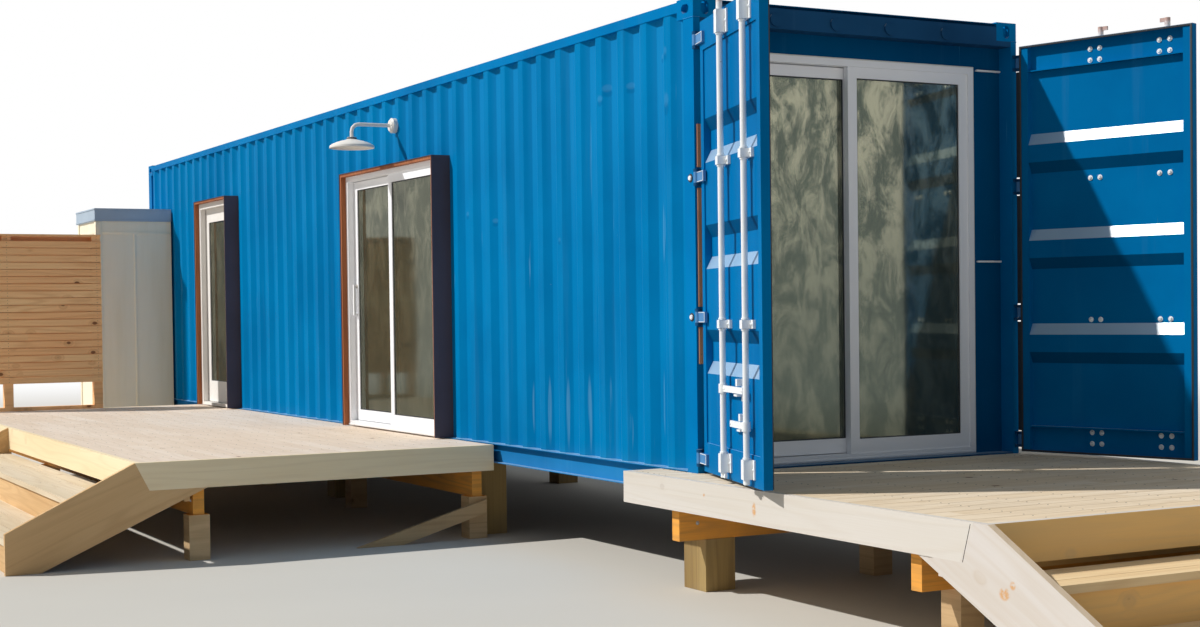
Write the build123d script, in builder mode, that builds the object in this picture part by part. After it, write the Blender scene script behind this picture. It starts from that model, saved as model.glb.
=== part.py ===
"""Forty-foot shipping container fitted out as a cabin, on piers, with timber decks at its side and end.

The origin is on the ground, straight below the container's lower corner at the door end.
+X runs from the far end to the door end, +Y from the door side into the container, +Z is up.
"""

import os
from math import atan2, cos, degrees, pi, radians, sin

from build123d import *

os.makedirs("parts", exist_ok=True)

# Container shell
container_length = 12192.0
container_width = 2438.0
container_height = 2896.0
pier_height = 530.0
casting_length = 178.0
casting_width = 162.0
casting_height = 118.0
casting_slot_depth = 29.0
post_width = 44.0
door_post_depth = 110.0
far_post_depth = 120.0
rail_lift = 12.0
side_sill_top = 148.0
side_sill_width = 48.0
sill_plate = 5.0
top_rail_size = 60.0
roof_drop = 10.0
header_bottom = 2745.0
header_top = 2866.0
sheet_thickness = 2.0
crest_inset = 4.0
wave_pitch = 278.0
wave_depth = 34.0
wave_crest = 72.0
wave_slope = 68.0
first_recess = 157.0
end_wave_depth = 44.0
roof_wave_depth = 18.0

# Floor and lining
floor_top = 150.0
floor_sheet = 28.0
cross_member_flange = 45.0
cross_member_web = 5.0
cross_member_pitch = 610.0
lining_thickness = 72.0
lining_top = 2766.0
ceiling_thickness = 60.0
panel_joint = 0.5

# Door-end bulkhead and its sliding door
bulkhead_recess = 110.0
bulkhead_thickness = 100.0
end_door_width = 1895.0
end_door_top = 2610.0
end_door_proud = 10.0

# Doors in the side wall
patio_left = -5480.0
patio_right = -3520.0
patio_top = 2285.0
entry_from_far_end = 2286.0
entry_width = 1106.0
entry_top = 2325.0
surround_projection = 115.0
surround_plate = 6.0
cedar_thickness = 22.0
frame_setback = 50.0
frame_depth = 116.0

# Sliding door parts
frame_bar = 40.0
sash_stile = 68.0
sash_thickness = 40.0
track_gap = 6.0
glass_thickness = 20.0
sash_clearance = 5.0
running_gap = 0.3
pull_height = 260.0
pull_width = 22.0
pull_reach = 34.0

# Hinged entry door
entry_jamb = 45.0
entry_stop = 12.0
threshold_height = 30.0
entry_door_thickness = 45.0
entry_stile = 110.0
entry_top_rail = 150.0
entry_bottom_rail = 220.0
entry_gap = 6.0
entry_knuckle_radius = 7.0
entry_pin_radius = 4.0
entry_pin_clearance = 0.05
entry_pin_offset = 1.5
entry_hinge_length = 100.0
entry_knuckle_length = 39.0
entry_plate = 2.5
entry_hinge_heights = (190.0, 1060.0, 1900.0)
knob_radius = 28.0
knob_sides = 16
knob_height = 1065.0
knob_inset = 62.0

# Cargo doors
leaf_bottom = 160.0
leaf_top = 2735.0
leaf_thickness = 48.0
leaf_face = 2.0
leaf_hinge_gap = 6.0
leaf_meeting_gap = 12.0
leaf_stile = 60.0
leaf_rail = 168.0
leaf_rail_plate = 7.0
leaf_sheet = 3.0
leaf_setback = 8.0
band_depth = 34.0
band_height = 250.0
band_slope = 70.0
band_heights = (850.0, 1445.0, 2050.0)
pin_x = 18.0
pin_y = 0.0
pin_radius = 9.0
knuckle_radius = 16.0
hinge_height = 100.0
hinge_heights = (232.0, 1046.0, 1852.0, 2640.0)
hinge_blade = 12.0
hinge_blade_length = 150.0
left_leaf_angle = 107.5
right_leaf_angle = 105.0

# Lock rods
rod_radius = 17.0
rod_stand_off = 32.0
rod_places = (575.0, 1015.0)
rod_bottom = 172.0
rod_top = 2800.0
end_guides = ((200.0, 303.0), (2590.0, 2716.0))
middle_guides = ((986.0, 1032.0), (1876.0, 1922.0))
guide_width = 110.0
guide_clearance = 0.5
pin_clearance = 0.3
knuckle_gap = 1.0
lug_height = 18.0
guide_plate = 8.0
hub_radius = 24.0
hub_height = 50.0
stringer_foot = 108.0
stringer_rise = 40.0
riser_setback = 20.0
tread_boards = 3
handle_heights = (659.0, 476.0)
handle_lengths = (390.0, 290.0)
handle_ways = (1, -1)
catch_places = (280.0, 110.0)
catch_width = 60.0
catch_reach = 60.0
catch_plate = 10.0
catch_gap = 5.0
handle_width = 34.0
handle_thickness = 12.0
keeper_size = 84.0
keeper_thickness = 12.0
keeper_height = 2800.0
cam_length = 46.0
cam_thickness = 14.0
cam_height = 23.0
rod_gear = tuple(zip(rod_places, handle_heights, catch_places, handle_ways))

# Timber
deck_rise = 140.0
board_width = 140.0
board_gap = 5.0
board_thickness = 38.0
lumber = 38.0
fascia_height = 184.0
joist_spacing = 406.0
beam_width = 76.0
beam_height = 184.0
deck_post = 140.0
mitre_run = 93.0
stringer_back = 370.0
cleat_drop = 50.0
cleat_setback = 5.0
stud_width = 89.0
riser_board = 25.0
riser_count = 3

# Side deck
deck_past_patio = 780.0
deck_past_entry = 149.0
side_deck_depth = 2583.0
side_stair_length = 4463.0
side_tread_run = 414.0
side_beam_place = 2150.0
side_inner_beam_place = 110.0
side_post_spacing = 2350.0
side_post_setback = 110.0
brace_inner = 60.0
brace_reach = 1050.0
brace_top = 280.0
brace_drop = 97.0
wall_gap = 3.0

# Door-end deck
end_deck_reach = 2745.0
end_deck_wrap = 415.0
end_deck_margin = 260.0
end_tread_run = 370.0
end_stringer_level = 90.0
end_beam_near = 40.0
end_beam_setback = 585.0

# Piers
pier_size = 200.0
corner_pier_size = 230.0
pier_bays = 4

# Screen
screen_height = 1828.0
screen_post = 90.0
screen_start = 1110.0
screen_end = 2560.0
screen_bottom = 282.0
slat_height = 68.0
slat_gap = 6.0
slat_thickness = 19.0
cap_thickness = 20.0

# Utility closet
closet_length = 900.0
closet_depth = 850.0
closet_from_far_end = 42.0
closet_height = 2185.0
closet_roof_height = 144.0
closet_overhang = 20.0
closet_skid = 100.0

# Barn light and batten
light_place = -4500.0
light_height = 2605.0
light_reach = 370.0
light_canopy_radius = 60.0
light_canopy_depth = 48.0
light_pipe_radius = 15.0
shade_radius = 178.0
shade_rim = 2412.0
shade_crown = 2500.0
shade_skirt = 22.0
shade_sheet = 3.0
shade_sides = 32
shade_neck = 36.0
light_bend = 60.0
batten_bottom = 775.0
batten_top = 2161.0
batten_width = 26.0
batten_depth = 40.0
batten_setback = 65.0

# Places that follow from the driving values
entry_left = entry_from_far_end - container_length
entry_right = entry_left + entry_width
side_deck_end = patio_right + deck_past_patio
side_x0 = entry_left - deck_past_entry
side_deck_length = side_deck_end - side_x0
closet_start = closet_from_far_end - container_length
base = pier_height
deck_top = base + deck_rise
floor_level = base + floor_top
roof_level = base + container_height - roof_drop
step_rise = deck_top / riser_count
inner_side = crest_inset + wave_depth + sheet_thickness
room_front = inner_side + lining_thickness
far_sheet_outer = crest_inset - container_length
far_sheet_inner = far_sheet_outer + end_wave_depth + sheet_thickness


def slab(x_span, y_span, z_span, mode=Mode.ADD):
    """A block between two coordinates on each axis of the current plane."""
    centre = (sum(x_span) / 2, sum(y_span) / 2, sum(z_span) / 2)
    with Locations(centre):
        Box(x_span[1] - x_span[0], y_span[1] - y_span[0], z_span[1] - z_span[0], mode=mode)


def save(part, name):
    part.label = name
    export_step(part, f"parts/{name}.step")


def turned(plane, profile, sides, mode=Mode.ADD):
    """A turned form in flat facets: (radius, height) pairs along the plane's normal."""
    for (radius, height), (next_radius, next_height) in zip(profile, profile[1:]):
        if next_height == height:
            continue
        lean = degrees(atan2((radius - next_radius) * cos(pi / sides), next_height - height))
        with BuildSketch(plane.offset(height)) as ring:
            RegularPolygon(radius, sides)
        extrude(ring.sketch, amount=next_height - height, taper=lean, mode=mode)


def wave_outline(start, end, recess, depth, pitch=wave_pitch):
    """Points across a folded sheet: crests at zero, recesses at depth, one of them centred at recess."""
    flat = wave_crest / 2
    half_recess = pitch / 2 - wave_slope - flat
    knots = []
    first = int((start - recess) // pitch) - 1
    for number in range(first, first + int((end - start) / pitch) + 4):
        centre = recess + number * pitch
        knots += [(centre - half_recess - wave_slope, 0.0), (centre - half_recess, depth)]
        knots += [(centre + half_recess, depth), (centre + half_recess + wave_slope, 0.0)]

    def depth_at(place):
        for (x0, d0), (x1, d1) in zip(knots, knots[1:]):
            if x0 <= place <= x1:
                return d0 + (d1 - d0) * (place - x0) / (x1 - x0)
        return 0.0

    inner = [knot for knot in knots if start < knot[0] < end]
    return [(start, depth_at(start))] + inner + [(end, depth_at(end))]


def casting_blocks(mode):
    for x in (casting_length / 2 - container_length, -casting_length / 2):
        for y in (casting_width / 2, container_width - casting_width / 2):
            for z in (base + casting_height / 2, base + container_height - casting_height / 2):
                with Locations((x, y, z)):
                    Box(casting_length, casting_width, casting_height, mode=mode)


def side_sheet(spans, y_face, inward):
    """Folded side sheets over spans of (x0, x1, z0, z1), standing on the plane y_face."""
    with BuildPart() as sheet:
        for x0, x1, z0, z1 in spans:
            with BuildSketch(Plane.XY.offset(z0)) as section:
                with BuildLine():
                    wave = wave_outline(x0, x1, -first_recess, wave_depth)
                    near = [(x, y_face + inward * d) for x, d in wave]
                    far = [(x, y_face + inward * (d + sheet_thickness)) for x, d in reversed(wave)]
                    Polyline(*near, *far, close=True)
                make_face()
            extrude(amount=z1 - z0)
        casting_blocks(Mode.SUBTRACT)
    return sheet.part


# Floor
with BuildPart() as floor:
    slab(
        (-container_length + far_post_depth, -door_post_depth),
        (side_sill_width, container_width - side_sill_width),
        (floor_level - floor_sheet, floor_level),
    )
    casting_blocks(Mode.SUBTRACT)
save(floor.part, "floor")

# Cross members under the floor, channels with their flanges towards the far end
member_count = int((container_length - 2 * casting_length) // cross_member_pitch)
member_span = (side_sill_width, container_width - side_sill_width)
with BuildPart() as cross_members:
    for number in range(member_count):
        x = -casting_length - cross_member_pitch * (number + 0.5)
        low = base + rail_lift
        high = floor_level - floor_sheet
        slab((x, x + cross_member_web), member_span, (low, high))
        slab((x - cross_member_flange, x), member_span, (low, low + cross_member_web))
        slab((x - cross_member_flange, x), member_span, (high - cross_member_web, high))
save(cross_members.part, "cross_members")

# Side sills, channels open outwards, and top rails
rail_bottom = roof_level - top_rail_size
with BuildPart() as side_rails:
    rail_span = (-container_length + far_post_depth, -door_post_depth)
    for outer, way in ((0.0, 1), (container_width, -1)):
        web = sorted((outer + way * (side_sill_width - sill_plate), outer + way * side_sill_width))
        flange = sorted((outer, outer + way * side_sill_width))
        slab(rail_span, web, (base + rail_lift, base + side_sill_top))
        slab(rail_span, flange, (base + rail_lift, base + rail_lift + sill_plate))
        slab(rail_span, flange, (base + side_sill_top - sill_plate, base + side_sill_top))
        tube = sorted((outer, outer + way * top_rail_size))
        slab(rail_span, tube, (rail_bottom, roof_level))
    casting_blocks(Mode.SUBTRACT)
save(side_rails.part, "side_rails")

# Corner posts
post_bottom = base + casting_height
post_top = base + container_height - casting_height
with BuildPart() as corner_posts:
    for y0 in (0.0, container_width - post_width):
        slab((-door_post_depth, 0), (y0, y0 + post_width), (post_bottom, post_top))
        far_post = (-container_length, -container_length + far_post_depth)
        slab(far_post, (y0, y0 + post_width), (post_bottom, post_top))
save(corner_posts.part, "corner_posts")

# Corner castings, with their end, side and top or bottom slots
with BuildPart() as corner_castings:
    casting_blocks(Mode.ADD)
    for x_face, x_way in ((-container_length, 1), (0.0, -1)):
        x_middle = x_face + x_way * casting_length / 2
        for y_face, y_way in ((0.0, 1), (container_width, -1)):
            y_middle = y_face + y_way * casting_width / 2
            for z_face, z_way in ((base, 1), (base + container_height, -1)):
                z_middle = z_face + z_way * casting_height / 2
                end_slot = Plane((x_face, y_middle, z_middle), x_dir=(0, 0, 1), z_dir=(-x_way, 0, 0))
                side_slot = Plane((x_middle, y_face, z_middle), x_dir=(1, 0, 0), z_dir=(0, -y_way, 0))
                flat_slot = Plane((x_middle, y_middle, z_face), x_dir=(1, 0, 0), z_dir=(0, 0, -z_way))
                for slot, length, width in ((end_slot, 79, 51), (side_slot, 79, 51), (flat_slot, 124, 64)):
                    with BuildSketch(slot):
                        opening = Rectangle(length, width)
                        chamfer(opening.vertices(), width * 0.3)
                    extrude(amount=-casting_slot_depth, mode=Mode.SUBTRACT)
save(corner_castings.part, "corner_castings")

# End beams: header and sill of the door end, header and sill of the far end
with BuildPart() as end_beams:
    between_posts = (post_width, container_width - post_width)
    far_beam = (-container_length, -container_length + far_post_depth)
    slab((-door_post_depth, 0), between_posts, (base + rail_lift, floor_level))
    slab((-door_post_depth, 0), between_posts, (base + header_bottom, base + header_top))
    slab(far_beam, between_posts, (base + rail_lift, floor_level))
    slab(far_beam, between_posts, (rail_bottom, base + header_top))
    casting_blocks(Mode.SUBTRACT)
save(end_beams.part, "end_beams")

# Folded steel walls, split beside and over the doorways
wall_ends = (-container_length + far_post_depth, -door_post_depth)
wall_heights = (base + side_sill_top, rail_bottom)
front_spans = [
    (wall_ends[0], entry_left, *wall_heights),
    (entry_right, patio_left, *wall_heights),
    (patio_right, wall_ends[1], *wall_heights),
]
lintel_spans = [
    (entry_left, entry_right, base + entry_top, rail_bottom),
    (patio_left, patio_right, base + patio_top, rail_bottom),
]
save(side_sheet(front_spans, crest_inset, 1), "front_wall")
save(side_sheet(lintel_spans, crest_inset, 1), "front_wall_lintels")
save(side_sheet([(*wall_ends, *wall_heights)], container_width - crest_inset, -1), "back_wall")

with BuildPart() as end_wall:
    with BuildSketch(Plane.XY.offset(floor_level)):
        with BuildLine():
            wave = wave_outline(post_width, container_width - post_width, container_width / 2, end_wave_depth)
            near = [(far_sheet_outer + d, y) for y, d in wave]
            far = [(far_sheet_outer + d + sheet_thickness, y) for y, d in reversed(wave)]
            Polyline(*near, *far, close=True)
        make_face()
    extrude(amount=rail_bottom - floor_level)
    casting_blocks(Mode.SUBTRACT)
save(end_wall.part, "end_wall")

# Roof, folded across
with BuildPart() as roof:
    roof_plane = Plane((0, top_rail_size, roof_level), x_dir=(1, 0, 0), z_dir=(0, 1, 0))
    with BuildSketch(roof_plane):
        with BuildLine():
            wave = wave_outline(-container_length, 0.0, -first_recess, roof_wave_depth)
            near = [(x, d) for x, d in wave]
            far = [(x, d + sheet_thickness) for x, d in reversed(wave)]
            Polyline(*near, *far, close=True)
        make_face()
    extrude(amount=container_width - 2 * top_rail_size)
    casting_blocks(Mode.SUBTRACT)
save(roof.part, "roof")

# Bulkhead round the end door
bulkhead_back = -bulkhead_recess - bulkhead_thickness
end_door_left = (container_width - end_door_width) / 2
end_door_right = end_door_left + end_door_width
with BuildPart() as bulkhead:
    slab(
        (bulkhead_back, -bulkhead_recess),
        (inner_side, container_width - inner_side),
        (floor_level, base + lining_top),
    )
    slab(
        (bulkhead_back, -bulkhead_recess),
        (end_door_left, end_door_right),
        (floor_level, base + end_door_top),
        mode=Mode.SUBTRACT,
    )
save(bulkhead.part, "bulkhead")

# Wall lining, in panels with open joints beside and over the doorways
lining_heights = (floor_level, base + lining_top)
lining_ends = (far_sheet_inner, bulkhead_back)
with BuildPart() as wall_lining:
    reveal = surround_plate + cedar_thickness
    front = (inner_side, room_front)
    back = (container_width - room_front, container_width - inner_side)
    spans = [
        (lining_ends[0] + lining_thickness + panel_joint, entry_left + reveal),
        (entry_right - reveal, patio_left + reveal),
        (patio_right - reveal, lining_ends[1]),
    ]
    for span in spans:
        slab(span, front, lining_heights)
    over_entry = (entry_left + reveal + panel_joint, entry_right - reveal - panel_joint)
    over_patio = (patio_left + reveal + panel_joint, patio_right - reveal - panel_joint)
    slab(over_entry, front, (base + entry_top - reveal, base + lining_top))
    slab(over_patio, front, (base + patio_top - reveal, base + lining_top))
    slab((lining_ends[0] + lining_thickness + panel_joint, lining_ends[1]), back, lining_heights)
    slab(
        (lining_ends[0], lining_ends[0] + lining_thickness),
        (post_width, container_width - post_width),
        lining_heights,
    )
save(wall_lining.part, "wall_lining")

with BuildPart() as ceiling:
    slab(
        (lining_ends[0], -bulkhead_recess),
        (post_width, container_width - post_width),
        (base + lining_top, base + lining_top + ceiling_thickness),
    )
    casting_blocks(Mode.SUBTRACT)
save(ceiling.part, "ceiling")


def sliding_door(width, height, prefix, plane):
    """Frame, fixed sash and moving sash on a plane: x across, y inwards from the frame's face, z up.

    The fixed sash is on the right in the outer track, the moving sash on the left in the inner track.
    """
    bar = frame_bar
    outer_track = (12.0, 12.0 + sash_thickness)
    inner_track = (outer_track[1] + track_gap, outer_track[1] + track_gap + sash_thickness)
    sash_width = (width - 2 * bar + sash_stile) / 2
    fixed_span = (width - bar - sash_width, width - bar)
    moving_span = (bar + sash_clearance, bar + sash_width)
    heights = (bar, height - bar)
    with BuildPart(plane) as frame:
        slab((0, width), (0, frame_depth), (0, height))
        slab((bar, width - bar), (0, frame_depth), heights, mode=Mode.SUBTRACT)
    save(frame.part, f"{prefix}_frame")
    for name, span, track, levels in (
        ("fixed", fixed_span, outer_track, heights),
        ("sliding", moving_span, inner_track, (bar + sash_clearance, height - bar - sash_clearance)),
    ):
        light = (span[0] + sash_stile, span[1] - sash_stile)
        light_levels = (levels[0] + sash_stile * 1.3, levels[1] - sash_stile)
        middle = sum(track) / 2
        with BuildPart(plane) as sash:
            slab(span, track, levels)
            slab(light, track, light_levels, mode=Mode.SUBTRACT)
            if name == "sliding":
                for x in (span[0] + sash_stile, span[1] - sash_stile):
                    slab((x - 20, x + 20), (middle - 6, middle + 6), (bar + running_gap, levels[0]))
                pull = (span[0] + sash_stile / 2 - pull_width / 2, span[0] + sash_stile / 2 + pull_width / 2)
                grip = (knob_height - pull_height / 2, knob_height + pull_height / 2)
                slab(pull, (track[0] - pull_reach, track[0]), grip)
                slab(
                    pull,
                    (track[0] - pull_reach + 12, track[0]),
                    (grip[0] + 14, grip[1] - 14),
                    mode=Mode.SUBTRACT,
                )
        save(sash.part, f"{prefix}_{name}_sash")
        with BuildPart(plane) as pane:
            slab(light, (middle - glass_thickness / 2, middle + glass_thickness / 2), light_levels)
        save(pane.part, f"{prefix}_{name}_glass")


# End door, seen from outside: x runs along +Y, y runs inwards
end_door_plane = Plane(
    (-bulkhead_recess + end_door_proud, end_door_left, floor_level), x_dir=(0, 1, 0), z_dir=(0, 0, 1)
)
sliding_door(end_door_width, base + end_door_top - floor_level, "end_door", end_door_plane)

# Patio door: x runs along +X, y runs inwards
patio_inner = surround_plate + cedar_thickness
patio_plane = Plane((patio_left + patio_inner, frame_setback - surround_projection, floor_level))
sliding_door(
    patio_right - patio_left - 2 * patio_inner,
    base + patio_top - patio_inner - floor_level,
    "patio_door",
    patio_plane,
)

# Steel surrounds and their cedar linings
surround_span = (-surround_projection, inner_side)
with BuildPart() as door_surrounds:
    for left, right, top in ((patio_left, patio_right, patio_top), (entry_left, entry_right, entry_top)):
        slab((left, right), surround_span, (base + side_sill_top, base + top))
        slab(
            (left + surround_plate, right - surround_plate),
            surround_span,
            (base + side_sill_top, base + top - surround_plate),
            mode=Mode.SUBTRACT,
        )
save(door_surrounds.part, "door_surrounds")

cedar_span = (-surround_projection + surround_plate, inner_side)
with BuildPart() as surround_linings:
    for left, right, top in ((patio_left, patio_right, patio_top), (entry_left, entry_right, entry_top)):
        slab(
            (left + surround_plate, right - surround_plate),
            cedar_span,
            (base + side_sill_top, base + top - surround_plate),
        )
        slab(
            (left + patio_inner, right - patio_inner),
            cedar_span,
            (base + side_sill_top, base + top - patio_inner),
            mode=Mode.SUBTRACT,
        )
save(surround_linings.part, "surround_linings")

# Entry door: frame with a stop on the outside, a door with one full light, and its knobs
entry_x0 = entry_left + patio_inner
entry_x1 = entry_right - patio_inner
entry_z1 = base + entry_top - patio_inner
entry_front = frame_setback - surround_projection
entry_back = entry_front + frame_depth
door_back = entry_back - 11.0
door_front = door_back - entry_door_thickness
with BuildPart() as entry_frame:
    slab((entry_x0, entry_x1), (entry_front, entry_back), (floor_level, entry_z1))
    slab(
        (entry_x0 + entry_jamb, entry_x1 - entry_jamb),
        (door_front - entry_gap, entry_back),
        (floor_level + threshold_height, entry_z1 - entry_jamb),
        mode=Mode.SUBTRACT,
    )
    slab(
        (entry_x0 + entry_jamb + entry_stop, entry_x1 - entry_jamb - entry_stop),
        (entry_front, entry_back),
        (floor_level + threshold_height, entry_z1 - entry_jamb - entry_stop),
        mode=Mode.SUBTRACT,
    )
save(entry_frame.part, "entry_frame")

leaf_x0 = entry_x0 + entry_jamb + entry_gap
leaf_x1 = entry_x1 - entry_jamb - entry_gap - 2.0
leaf_z0 = floor_level + threshold_height + entry_gap
leaf_z1 = entry_z1 - entry_jamb - entry_gap
entry_light_x = (leaf_x0 + entry_stile, leaf_x1 - entry_stile)
entry_light_z = (leaf_z0 + entry_bottom_rail, leaf_z1 - entry_top_rail)
hinge_x = leaf_x0 + entry_pin_offset
hinge_y = door_back + entry_knuckle_radius
with BuildPart() as entry_door:
    slab((leaf_x0, leaf_x1), (door_front, door_back), (leaf_z0, leaf_z1))
    slab(entry_light_x, (door_front, door_back), entry_light_z, mode=Mode.SUBTRACT)
    for height in entry_hinge_heights:
        middle = leaf_z0 + height
        levels = (middle - entry_knuckle_length / 2, middle + entry_knuckle_length / 2)
        slab((leaf_x0, leaf_x0 + 32), (door_back, door_back + entry_plate), levels)
        with Locations((hinge_x, hinge_y, middle)):
            Cylinder(entry_knuckle_radius, entry_knuckle_length)
            Cylinder(entry_pin_radius + entry_pin_clearance, entry_knuckle_length, mode=Mode.SUBTRACT)
save(entry_door.part, "entry_door")

# Each entry hinge: a pin between two knuckles, with plates on the inner face of the jamb
with BuildPart() as entry_hinges:
    jamb_face = entry_x0 + entry_jamb
    for height in entry_hinge_heights:
        middle = leaf_z0 + height
        with Locations((hinge_x, hinge_y, middle)):
            Cylinder(entry_pin_radius, entry_hinge_length)
        reach = (entry_hinge_length - entry_knuckle_length - 2 * panel_joint) / 2
        for way in (-1, 1):
            level = middle + way * (entry_hinge_length - reach) / 2
            with Locations((hinge_x, hinge_y, level)):
                Cylinder(entry_knuckle_radius, reach)
            slab(
                (jamb_face, jamb_face + entry_plate),
                (door_back + 2, entry_back),
                (level - reach / 2, level + reach / 2),
            )
save(entry_hinges.part, "entry_hinges")

with BuildPart() as entry_glass:
    middle = (door_front + door_back) / 2
    slab(entry_light_x, (middle - glass_thickness / 2, middle + glass_thickness / 2), entry_light_z)
save(entry_glass.part, "entry_glass")

knob_x = leaf_x1 - knob_inset
knob_z = floor_level + knob_height
knob_profile = (
    (knob_radius + 4, 0.0),
    (knob_radius + 4, 5.0),
    (11.0, 5.0),
    (11.0, 38.0),
    (knob_radius, 38.0),
    (knob_radius, 60.0),
    (knob_radius * 0.8, 60.0),
    (knob_radius * 0.8, 66.0),
)
with BuildPart() as entry_knobs:
    for face, way in ((door_front, -1), (door_back, 1)):
        turned(Plane((knob_x, face, knob_z), x_dir=(1, 0, 0), z_dir=(0, way, 0)), knob_profile, knob_sides)
save(entry_knobs.part, "entry_knobs")


def leaf_plane(angle, side):
    """Plane on a cargo door's hinge axis: x along the leaf. Side is 1 near the origin, -1 at the far wall."""
    turn = radians(angle)
    y = pin_y if side > 0 else container_width - pin_y
    return Plane((pin_x, y, base), x_dir=(sin(turn), side * cos(turn), 0), z_dir=(0, 0, 1))


def cargo_door(prefix, angle, side):
    """One leaf with its hinges, rod guides and lock rods. Distances are measured from the hinge axis."""
    plane = leaf_plane(angle, side)
    face = leaf_face - pin_x
    edge = post_width + leaf_hinge_gap - pin_y
    free_edge = (container_width - leaf_meeting_gap) / 2 - pin_y
    rod_out = face + rod_stand_off
    sheet = face - leaf_setback

    def outward(near, far):
        return tuple(sorted((-side * near, -side * far)))

    panel = (edge + leaf_stile, free_edge - leaf_stile)
    with BuildPart(plane) as leaf:
        slab((edge, free_edge), outward(face, face - leaf_thickness), (leaf_bottom, leaf_top))
        slab(
            panel,
            outward(face, face - leaf_thickness),
            (leaf_bottom + leaf_rail, leaf_top - leaf_rail),
            mode=Mode.SUBTRACT,
        )
        for low in (leaf_bottom, leaf_top - leaf_rail):
            slab(
                panel,
                outward(face - leaf_rail_plate, face - leaf_thickness),
                (low + leaf_rail_plate, low + leaf_rail - leaf_rail_plate),
                mode=Mode.SUBTRACT,
            )
        section = Plane(
            plane.from_local_coords((panel[0], 0, 0)), x_dir=(0, 0, 1), z_dir=tuple(plane.x_dir)
        )
        way = -side if section.y_dir.dot(plane.y_dir) > 0 else side
        folds = [(leaf_bottom + leaf_rail, sheet)]
        for height in band_heights:
            low, high = height - band_height / 2, height + band_height / 2
            folds += [(low, sheet), (low + band_slope, sheet - band_depth)]
            folds += [(high - band_slope, sheet - band_depth), (high, sheet)]
        folds.append((leaf_top - leaf_rail, sheet))
        with BuildSketch(section):
            with BuildLine():
                front = [(z, way * n) for z, n in folds]
                back = [(z, way * (n - leaf_sheet)) for z, n in reversed(folds)]
                Polyline(*front, *back, close=True)
            make_face()
        extrude(amount=panel[1] - panel[0])
    save(leaf.part, f"{prefix}_leaf")

    barrel = hinge_height - 2 * (lug_height + knuckle_gap)
    with BuildPart(plane) as fittings:
        for height in hinge_heights:
            levels = (height - barrel / 2, height + barrel / 2)
            slab((0, hinge_blade_length), outward(0, -hinge_blade), levels)
            slab((edge, hinge_blade_length), outward(-hinge_blade, face), levels)
            with BuildSketch(plane.offset(levels[0])):
                RegularPolygon(knuckle_radius, 10)
            extrude(amount=barrel)
            with Locations((0, 0, height)):
                Cylinder(pin_radius + pin_clearance, barrel, mode=Mode.SUBTRACT)
        for place, handle_level, catch, way in rod_gear:
            for levels in (*end_guides, *middle_guides):
                seat = face if levels in end_guides else sheet
                plate = (place - guide_width / 2, place + guide_width / 2)
                slab(plate, outward(seat, face + guide_plate), levels)
                slab((place - hub_radius, place + hub_radius), outward(face, rod_out + hub_radius), levels)
                with Locations((place, -side * rod_out, sum(levels) / 2)):
                    bore = rod_radius + guide_clearance
                    Cylinder(bore, levels[1] - levels[0], mode=Mode.SUBTRACT)
            middle = place + way * catch
            shelf_top = handle_level - handle_width / 2 - catch_gap
            tongue_bottom = handle_level + handle_width / 2 + catch_gap
            tongue_top = handle_level + catch_reach
            backing = (middle - catch_width / 2, middle + catch_width / 2)
            slab(backing, outward(sheet, face), (handle_level - catch_reach, tongue_top))
            slab(backing, outward(face, rod_out + handle_thickness), (shelf_top - catch_plate, shelf_top))
            tongue = (middle - catch_width / 4, middle + catch_width / 4)
            slab(tongue, outward(face, rod_out + handle_thickness / 2), (tongue_bottom, tongue_top))
    save(fittings.part, f"{prefix}_leaf_fittings")

    for gear, handle_length, name in zip(rod_gear, handle_lengths, ("inner", "outer")):
        place, handle_level, catch, way = gear
        with BuildPart(plane) as rod:
            with Locations((place, -side * rod_out, (rod_bottom + rod_top) / 2)):
                Cylinder(rod_radius, rod_top - rod_bottom)
            for low in (rod_bottom, rod_top - cam_height):
                slab(
                    sorted((place + way * cam_length, place)),
                    outward(rod_out - cam_thickness / 2, rod_out + cam_thickness / 2),
                    (low, low + cam_height),
                )
            with Locations((place, -side * rod_out, handle_level)):
                Cylinder(hub_radius, hub_height)
            slab(
                sorted((place + way * handle_length, place)),
                outward(rod_out - handle_thickness / 2, rod_out + handle_thickness / 2),
                (handle_level - handle_width / 2, handle_level + handle_width / 2),
            )
        save(rod.part, f"{prefix}_{name}_rod")


cargo_door("left", left_leaf_angle, 1)
cargo_door("right", right_leaf_angle, -1)

# Hinge lugs with their pins on the door-end posts, and a half-round keeper at each lock rod's closed place
with BuildPart() as door_hardware:
    for side in (1, -1):
        y = pin_y if side > 0 else container_width - pin_y
        for height in hinge_heights:
            for way in (-1, 1):
                middle = base + height + way * (hinge_height - lug_height) / 2
                span = (middle - lug_height / 2, middle + lug_height / 2)
                slab((0, pin_x), sorted((y - side * knuckle_radius * 0.6, y + side * post_width * 0.7)), span)
                with BuildSketch(Plane((pin_x, y, span[0]), z_dir=(0, 0, 1))):
                    RegularPolygon(knuckle_radius, 10)
                extrude(amount=lug_height)
            with Locations((pin_x, y, base + height)):
                Cylinder(pin_radius, hinge_height)
    for place in rod_places:
        for y in (pin_y + place, container_width - pin_y - place):
            with BuildSketch(Plane((0, y, base + keeper_height), x_dir=(0, 1, 0), z_dir=(1, 0, 0))):
                Circle(keeper_size / 2)
                with Locations((0, keeper_size / 2)):
                    Rectangle(keeper_size, keeper_size / 3, mode=Mode.SUBTRACT)
            extrude(amount=keeper_thickness)
save(door_hardware.part, "door_hardware")

# Timber strip beside the near post, in the recess behind the cargo door
with BuildPart() as post_batten:
    slab(
        (-batten_setback - batten_depth, -batten_setback),
        (post_width, post_width + batten_width),
        (base + batten_bottom, base + batten_top),
    )
save(post_batten.part, "post_batten")

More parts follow.
